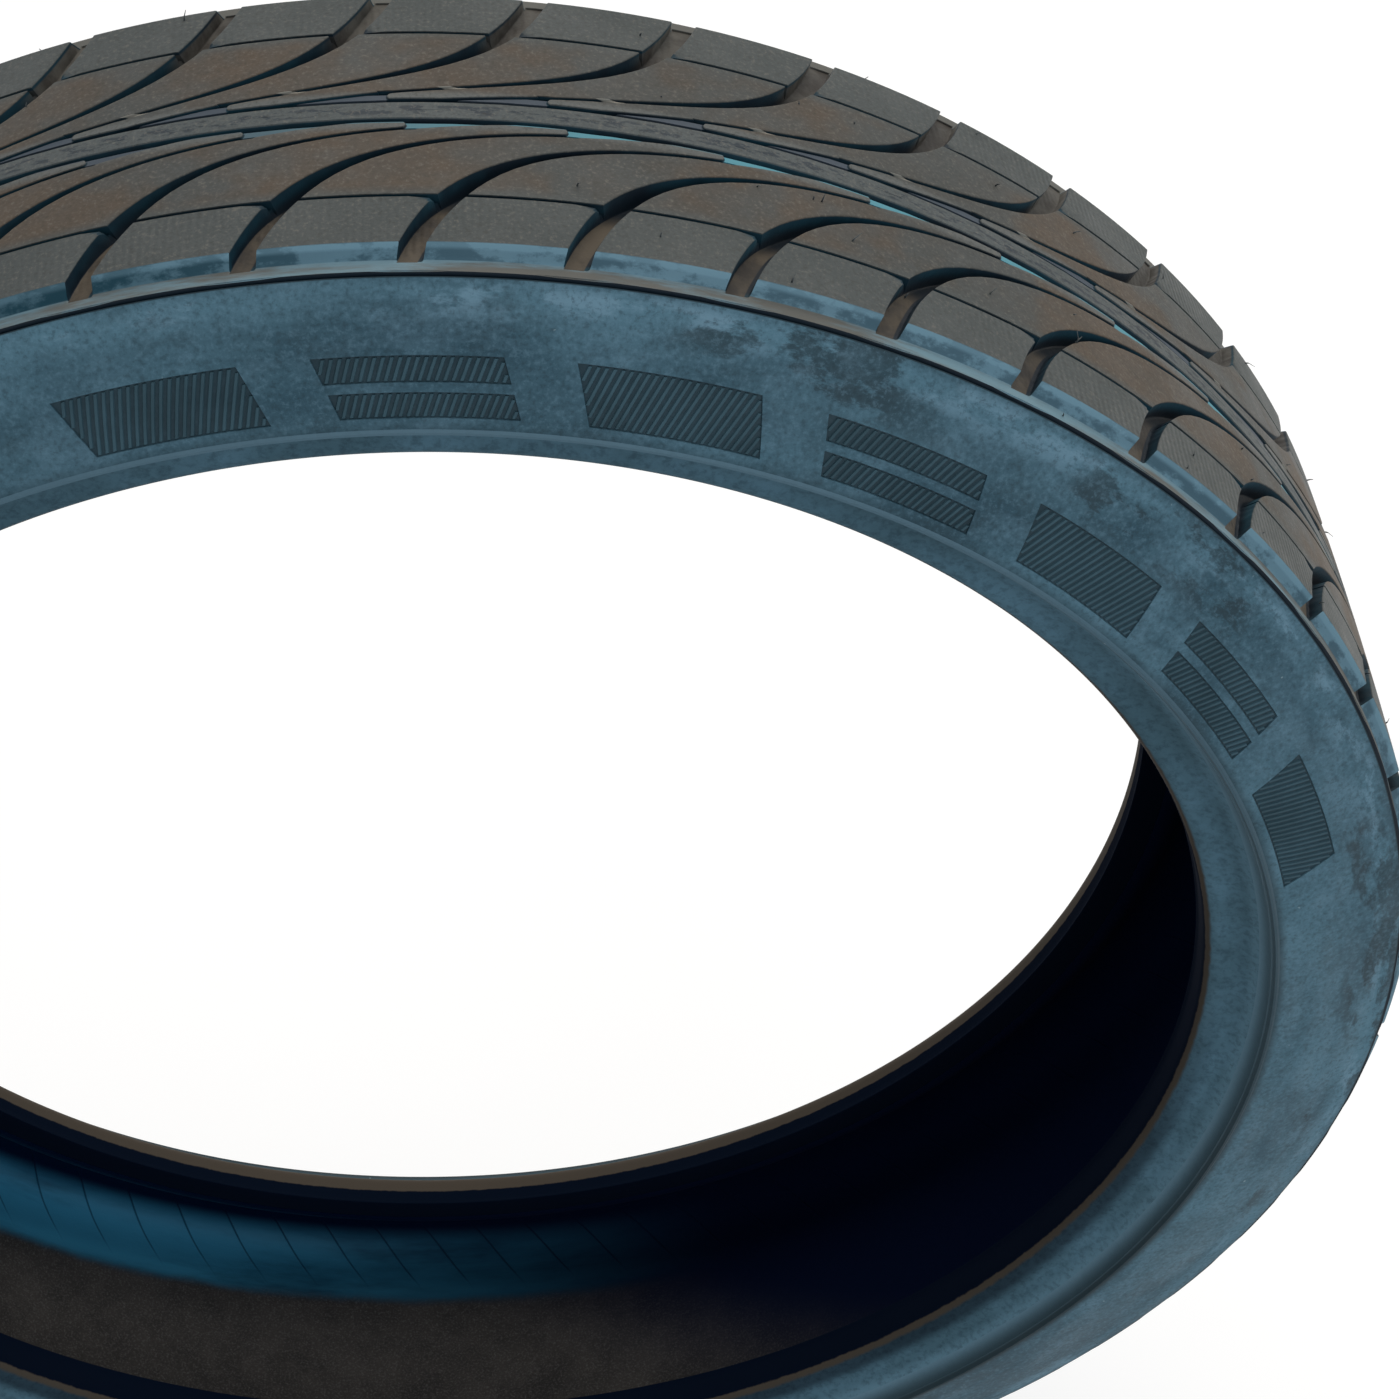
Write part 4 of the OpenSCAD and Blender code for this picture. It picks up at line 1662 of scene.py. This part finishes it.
    def _hatch_lines(self) -> tuple[np.ndarray, np.ndarray]:
        """Slanted lines that fill every field.

        Each is a line x + lean * v = c clipped to its field, in a plane where x runs
        round the tyre and v up the wall.

        Returns:
            Where each line starts and where it ends, as (x, v).
        """
        mm = math.radians(self.field_r)
        lean = -self.hatch_lean * self.side.value
        starts, ends = [], []
        for panel in self.panels():
            x0, x1 = panel.start * mm + self.hatch_margin, panel.end * mm - self.hatch_margin
            v0, v1 = panel.low + self.hatch_margin, panel.high - self.hatch_margin
            reach = abs(lean) * (v1 - v0)
            c = np.arange(x0 - reach + self.hatch_mm / 2, x1 + reach, self.hatch_mm)
            first, last = (x1, x0) if lean > 0 else (x0, x1)
            low_v = np.clip((c - first) / lean + v0, v0, v1)
            high_v = np.clip((c - last) / lean + v0, v0, v1)
            low_x, high_x = c - lean * (low_v - v0), c - lean * (high_v - v0)
            left, right = np.minimum(low_x, high_x), np.maximum(low_x, high_x)
            keep = (high_v - low_v > self.hatch_shortest) & (left > x0 - 0.05) & (right < x1 + 0.05)
            starts.append(np.stack([low_x, low_v], -1)[keep])
            ends.append(np.stack([high_x, high_v], -1)[keep])
        return np.concatenate(starts), np.concatenate(ends)

    def hatching(self) -> Piece:
        """Fine slanted ribs, nearly flush with the wall.

        A low trapezium is swept along each line of the hatching, which is bent to the
        wall: place = wall(v) + height * normal(v).

        Returns:
            The ribs, as one piece.
        """
        wall = self.wall_path()
        length = run_length(wall)
        start, end = (ends[:, None, :] for ends in self._hatch_lines())
        t = np.linspace(0.0, 1.0, 5)[None, :, None]
        line = start * (1 - t) + end * t
        half = np.array([0.5, 0.28, -0.28, -0.5])
        height = np.array([-self.sunk - 0.1, -0.06, -0.06, -self.sunk - 0.1])
        x = line[..., 0, None] + half
        v = np.broadcast_to(line[..., 1, None], x.shape)
        normal = along_path(v, length, leftward(wall))
        place = along_path(v, length, wall) + height[:, None] * normal
        angle = self._turn(x / math.radians(self.field_r), v)
        points = on_wheel(place[..., 0], self.side.value * place[..., 1], angle)
        ring = np.arange(4)
        ahead = (ring + 1) % 4
        quad = np.stack([ring, ahead, ahead + 4, ring + 4], -1)
        body = (quad + (np.arange(4) * 4)[:, None, None]).reshape(-1, 4)
        cells = np.concatenate([body, [ring[::-1], ring + 16]])
        faces = (cells + (np.arange(len(line)) * 20)[:, None, None]).reshape(-1, 4)
        if self.side is Side.LEFT:
            faces = faces[:, ::-1]
        return loose_mesh(f"hatching_{self.side.name.lower()}", points.reshape(-1, 3), faces.tolist())

    def dress(self, rubber: Material, hatch: Material) -> list[Piece]:
        """Builds the wall in wall rubber and its hatching in the same, without bloom.

        Args:
            rubber: the wall's material.
            hatch: the ribs' material.

        Returns:
            The two pieces.
        """
        name = self.side.name.lower()
        wall = self.sheet().build(f"wall_{name}")
        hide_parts(f"sidewall_{name}")
        ribs = self.hatching()
        for piece, material in ((wall, rubber), (ribs, hatch)):
            piece.data.materials.append(material)
        return [wall, ribs]


# ---- Beads and liner ------------------------------------------------------------------


@dataclass
class RimCushion:
    """The hard rubber ring at a bead: flange hollow, heel, seat and toe."""

    section: Section
    side: Side
    bead_r: float = 195.0
    columns: int = 480

    def outline(self) -> np.ndarray:
        """The whole section: hollow, heel, seat, toe, and the side on the chafer.

        Returns:
            The points, as (radius, y), from the top of the hollow round to it again.
        """
        s = self.section
        heel = (s.seat_r + s.heel_r, s.bead_y - s.heel_r)
        seat_y = np.linspace(heel[1], s.toe_y + 1.1, 5)[1:]
        toe = [[-0.22, 0.5], [-0.38, 0.12], [-0.3, -0.04], [0.3, -0.16], [0.9, -0.2], [4.05, 0.1]]
        chafer = [[8.1, 1.0], [3.9, 1.0], [2.1, 1.9], [1.0, 3.9]]
        outer = [[1.0, -3.7], [1.8, -1.6], [3.9, -0.8], [8.1, -0.8], [11.9, 0.0]]
        parts = [
            s.flange_hollow(56)[:37][::-1],
            arc(heel, s.heel_r, 90.0, 180.0, 14)[1:],
            [[s.seat_r, y] for y in seat_y],
            [s.seat_r, s.toe_y] + np.array(toe),
            [[s.core_top + 0.1, s.toe_y + 0.8]],
            [s.seat_r, s.toe_y] + np.array(chafer),
            [s.seat_r, s.bead_y] + np.array(outer),
        ]
        return np.concatenate([np.array(p) for p in parts])

    def dress(self, rubber: Material) -> list[Piece]:
        """Revolves the section and gives it bead rubber.

        Args:
            rubber: the bead's material.

        Returns:
            The one piece.
        """
        path = self.outline()
        theta = np.linspace(0.0, 360.0, self.columns, endpoint=False)[None, :]
        points = on_wheel(path[:, :1], self.side.value * path[:, 1:], theta)
        around = theta * math.radians(self.bead_r)
        around, across = np.broadcast_arrays(around, run_length(path)[:, None])
        name = self.side.name.lower()
        piece = Sheet(points, around, across, sharp_angle=50.0).build(f"bead_cushion_{name}")
        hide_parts(f"rim_cushion_{name}")
        piece.data.materials.append(rubber)
        return [piece]


@dataclass
class Liner:
    """The airtight liner, with the fine raised lines that the curing bladder left."""

    section: Section
    lines: int = 86
    height: float = 0.32
    half_width: float = 0.4
    slant: float = -0.68
    degree_mm: float = 3.7
    wall_r: float = 215.0
    outer_depth: float = 1.6
    inner_depth: float = 2.5
    foot_r: tuple[float, float] = (208.0, 216.0)
    crown_y: tuple[float, float] = (31.0, 37.0)

    def _bead_to_bead(self, depth: float) -> np.ndarray:
        """A path inside the plies, from the right bead over the crown to the left."""
        half = self.section.ply_path()[::2]
        half = half + depth * leftward(half)
        return np.concatenate([half[::-1] * (1, -1), half[1:]])

    def sheet(self) -> Sheet:
        """Lays the grid inside the plies, its lines slanting across the walls.

        A line is a low ridge that repeats round the tyre; it fades out on the crown and
        at the beads.

        Returns:
            The liner, marked 1 on a line.
        """
        inside, outside = self._bead_to_bead(self.inner_depth), self._bead_to_bead(self.outer_depth)
        length = run_length(inside)
        pitch = 360.0 / self.lines
        w = self.half_width / math.radians(self.wall_r)
        local = np.array([-1.6 * w, -w, -w / 3, w / 3, w, 1.6 * w, pitch * 0.3, pitch * 0.6])
        theta = (np.arange(self.lines)[:, None] * pitch + local).ravel()[None, :]
        ridge = np.tile([0.0, 0.0, 1.0, 1.0, 0.0, 0.0, 0.0, 0.0], self.lines)
        fade = ease(inside[:, 0], *self.foot_r) * ease(np.abs(inside[:, 1]), *self.crown_y)
        line = fade[:, None] * ridge
        grid = inside[:, None, :] + self.height * line[:, :, None] * leftward(inside)[:, None, :]
        back = np.repeat(outside[::-1, None, :], theta.shape[1], 1)
        grid = np.concatenate([grid, back])
        lean = np.concatenate([length, run_length(outside)[::-1]])[:, None] - length[-1] / 2
        angle = theta + lean * self.slant / self.degree_mm
        points = on_wheel(grid[..., 0], grid[..., 1], angle)
        across = np.broadcast_to(lean, angle.shape)
        line = np.concatenate([line, np.zeros(back.shape[:2])])
        return Sheet(points, angle * math.radians(self.wall_r), across, {"line": line}, 60.0)

    def dress(self, rubber: Material) -> list[Piece]:
        """Builds the liner in liner rubber.

        Args:
            rubber: the liner's material.

        Returns:
            The one piece.
        """
        piece = self.sheet().build("liner_skin")
        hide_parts("inner_liner")
        piece.data.materials.append(rubber)
        return [piece]


# ---- What lies inside -----------------------------------------------------------------


@dataclass
class Carcass:
    """The hidden layers, which keep their own solids and get their finishes here."""

    nodes: dict[str, Piece]

    def dress(self) -> None:
        """Gives every inner solid the finish of what it is made of."""
        under = PlainRubber("calendered_under_rubber", "2c2d30", "36373a")
        hard = PlainRubber("hard_filler_rubber", "25262a", "303136", 0.45)
        finishes = {
            ("tread_base", "belt_wedge_left", "belt_wedge_right"): under,
            ("bead_filler_left", "bead_filler_right", "bead_coating_left", "bead_coating_right"): hard,
            ("cap_ply",): CordSheet("nylon_cap_ply", "9d978a", "3a3935", 1500, 150.0),
            ("belt_upper",): CordSheet("aramid_belt_upper", "948d66", "33322c", 1300, 2.2),
            ("belt_lower",): CordSheet("aramid_belt_lower", "8d8660", "33322c", 1300, -2.2),
            ("body_ply_outer",): CordSheet("nylon_body_ply_outer", "7d786a", "2e2d29", 1250, 0.3),
            ("body_ply_inner",): CordSheet("nylon_body_ply_inner", "757061", "2b2a26", 1250, -0.3),
            ("chafer_left", "chafer_right"): SquareWovenCloth(),
            ("bead_wires_left", "bead_wires_right"): BrassedSteel(),
        }
        for names, finish in finishes.items():
            material = finish.build()
            for name in names:
                node = self.nodes[name]
                node.data.materials.clear()
                node.data.materials.append(material)
        LOG.info("carcass: %d inner solids dressed", sum(len(names) for names in finishes))


# ---- Studio ---------------------------------------------------------------------------


@dataclass(frozen=True)
class Lamp:
    """One square area lamp that faces the tyre."""

    name: str
    place: tuple[float, float, float]
    size: float
    watts: float
    colour: str

    def build(self) -> None:
        """Adds the lamp, turned towards the origin."""
        data = bpy.data.lights.new(self.name, "AREA")
        data.size = self.size
        data.energy = self.watts
        data.color = linear(self.colour)[:3]
        lamp = link(bpy.data.objects.new(self.name, data))
        lamp.location = self.place
        lamp.rotation_mode = "QUATERNION"
        lamp.rotation_quaternion = (-Vector(self.place)).to_track_quat("-Z", "Y")


@dataclass
class Studio:
    """Pale floor, soft lamps and the camera.

    The camera stands elevation degrees up in front at a distance, in metres, is turned
    by pan, tilt and roll, in radians, and then goes round_axis degrees round the wheel
    axis. sky is the world's strength on the tyre, floor_glow the floor's own light.
    """

    floor_z: float
    floor_r: float = 4.0
    floor_corners: int = 96
    floor_colour: str = "8c8c8c"
    floor_glow: float = 0.8
    sky: float = 0.5
    sky_colour: str = "eef2f6"
    elevation: float = 49.507
    distance: float = 0.7536
    lens: float = 74.57
    pan: float = 0.0764
    tilt: float = 0.0727
    roll: float = 0.0054
    round_axis: float = 2.4
    shift: tuple[float, float] = (0.03, -0.01)
    lamps: tuple[Lamp, ...] = (
        Lamp("key_above", (0.25, 0.8, 1.8), 1.6, 21.0, "fff4e6"),
        Lamp("fill_front", (0.9, -1.9, 0.7), 1.6, 13.0, "e4f1fb"),
        Lamp("rim_right", (1.6, 0.5, 0.3), 0.6, 3.0, "fff0d8"),
    )

    def camera(self) -> None:
        """Looks down on the near side of the crown from in front, slightly turned."""
        up_angle = math.radians(self.elevation)
        place = Vector((0.0, -math.cos(up_angle), math.sin(up_angle))) * self.distance
        ahead = -place.normalized()
        right = Vector((1.0, 0.0, 0.0))
        axes = Matrix((right, right.cross(ahead), ahead))
        for angle, axis in ((-self.pan, 1), (self.tilt, 0), (self.roll, 2)):
            turn = Matrix.Rotation(angle, 3, axes[axis])
            axes = Matrix([turn @ direction for direction in axes])
        turn = Matrix.Rotation(math.radians(self.round_axis), 3, "Y")
        right, up, ahead = (turn @ direction for direction in axes)
        data = bpy.data.cameras.new("camera")
        data.sensor_width = 36.0
        data.lens = self.lens
        data.shift_x, data.shift_y = self.shift
        data.clip_start, data.clip_end = 0.01, 20.0
        camera = link(bpy.data.objects.new("camera", data))
        frame = Matrix((right, up, -ahead)).transposed().to_4x4()
        frame.translation = turn @ place
        camera.matrix_world = frame
        bpy.context.scene.camera = camera

    def _as_seen(self, tree: bpy.types.NodeTree, lit: Socket, white: Socket) -> Socket:
        """One shader for what the eye sees, another for what falls on the tyre.

        Args:
            tree: the material's or the world's node tree.
            lit: what other rays meet.
            white: what the camera, a reflection or a transmission meets.

        Returns:
            The two, mixed.
        """
        rays = (add(tree, ray) for ray in RAYS)
        seen = reduce(lambda one, other: add(tree, LARGER, one, other), rays)
        return add(tree, EITHER, seen, lit, white)

    def floor(self) -> None:
        """A round pale floor that shows white and keeps a faint shadow.

        Its own glow brings it just up to white where the lamps reach it, so that it
        stays a little below white in the tyre's shadow.
        """
        q = np.linspace(0.0, 2.0 * math.pi, self.floor_corners, endpoint=False)
        level = np.full(self.floor_corners, self.floor_z)
        rim = np.stack([self.floor_r * np.cos(q), self.floor_r * np.sin(q), level], -1)
        floor = loose_mesh("floor", rim / METRES, [list(range(self.floor_corners))])
        material = bpy.data.materials.new("matt_white_paper")
        material.use_nodes = True
        tree = material.node_tree
        tree.nodes.clear()
        matt = add(tree, MATT, self.floor_colour)
        white = add(tree, TOGETHER, matt, add(tree, GLOW, "ffffff", self.floor_glow))
        add(tree, MATERIAL_END, self._as_seen(tree, matt, white))
        floor.data.materials.append(material)

    def backdrop(self) -> None:
        """A world that lights softly and shows white to the camera."""
        world = bpy.data.worlds.new("studio")
        world.use_nodes = True
        tree = world.node_tree
        tree.nodes.clear()
        soft = add(tree, SKY, self.sky_colour, self.sky)
        add(tree, WORLD_END, self._as_seen(tree, soft, add(tree, SKY, "ffffff", 1.0)))
        bpy.context.scene.world = world

    def build(self) -> None:
        """Makes the camera, floor, backdrop and lamps."""
        self.camera()
        self.floor()
        self.backdrop()
        for lamp in self.lamps:
            lamp.build()


# ---- Making ---------------------------------------------------------------------------


def main() -> None:
    """Loads the frame, builds the tyre's visible rubber and the studio round it."""
    logging.basicConfig(level=logging.INFO, format="%(name)s: %(message)s")
    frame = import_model()
    scene = bpy.context.scene
    scene.view_settings.view_transform = "Standard"
    Studio(floor_z=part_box("tread_cap")[0].z).build()
    section = Section.from_frame()
    bead_rubber = BeadRubber().build()
    liner_rubber = LinerRubber().build()
    height = float(run_length(Sidewall(section, Side.LEFT).wall_path())[-1])
    wall_rubber = WallRubber().build(height)
    # Like the wall's, the hatched fields' blue-teal tone is painted sky reflection
    hatch_rubber = PlainRubber("hatched_field_rubber", "2f4953", "3d5a66", 0.6).build()
    pattern = TreadPattern(section)
    pieces = Tread(pattern).dress(TreadRubber().build(pattern))
    for side in Side:
        pieces += Sidewall(section, side).dress(wall_rubber, hatch_rubber)
        pieces += RimCushion(section, side).dress(bead_rubber)
    pieces += Liner(section).dress(liner_rubber)
    for piece in pieces:
        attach(piece, "root")
        LOG.info("%s: %d faces", piece.name, len(piece.data.polygons))
    Carcass(frame["nodes"]).dress()


if __name__ == "__main__":
    main()
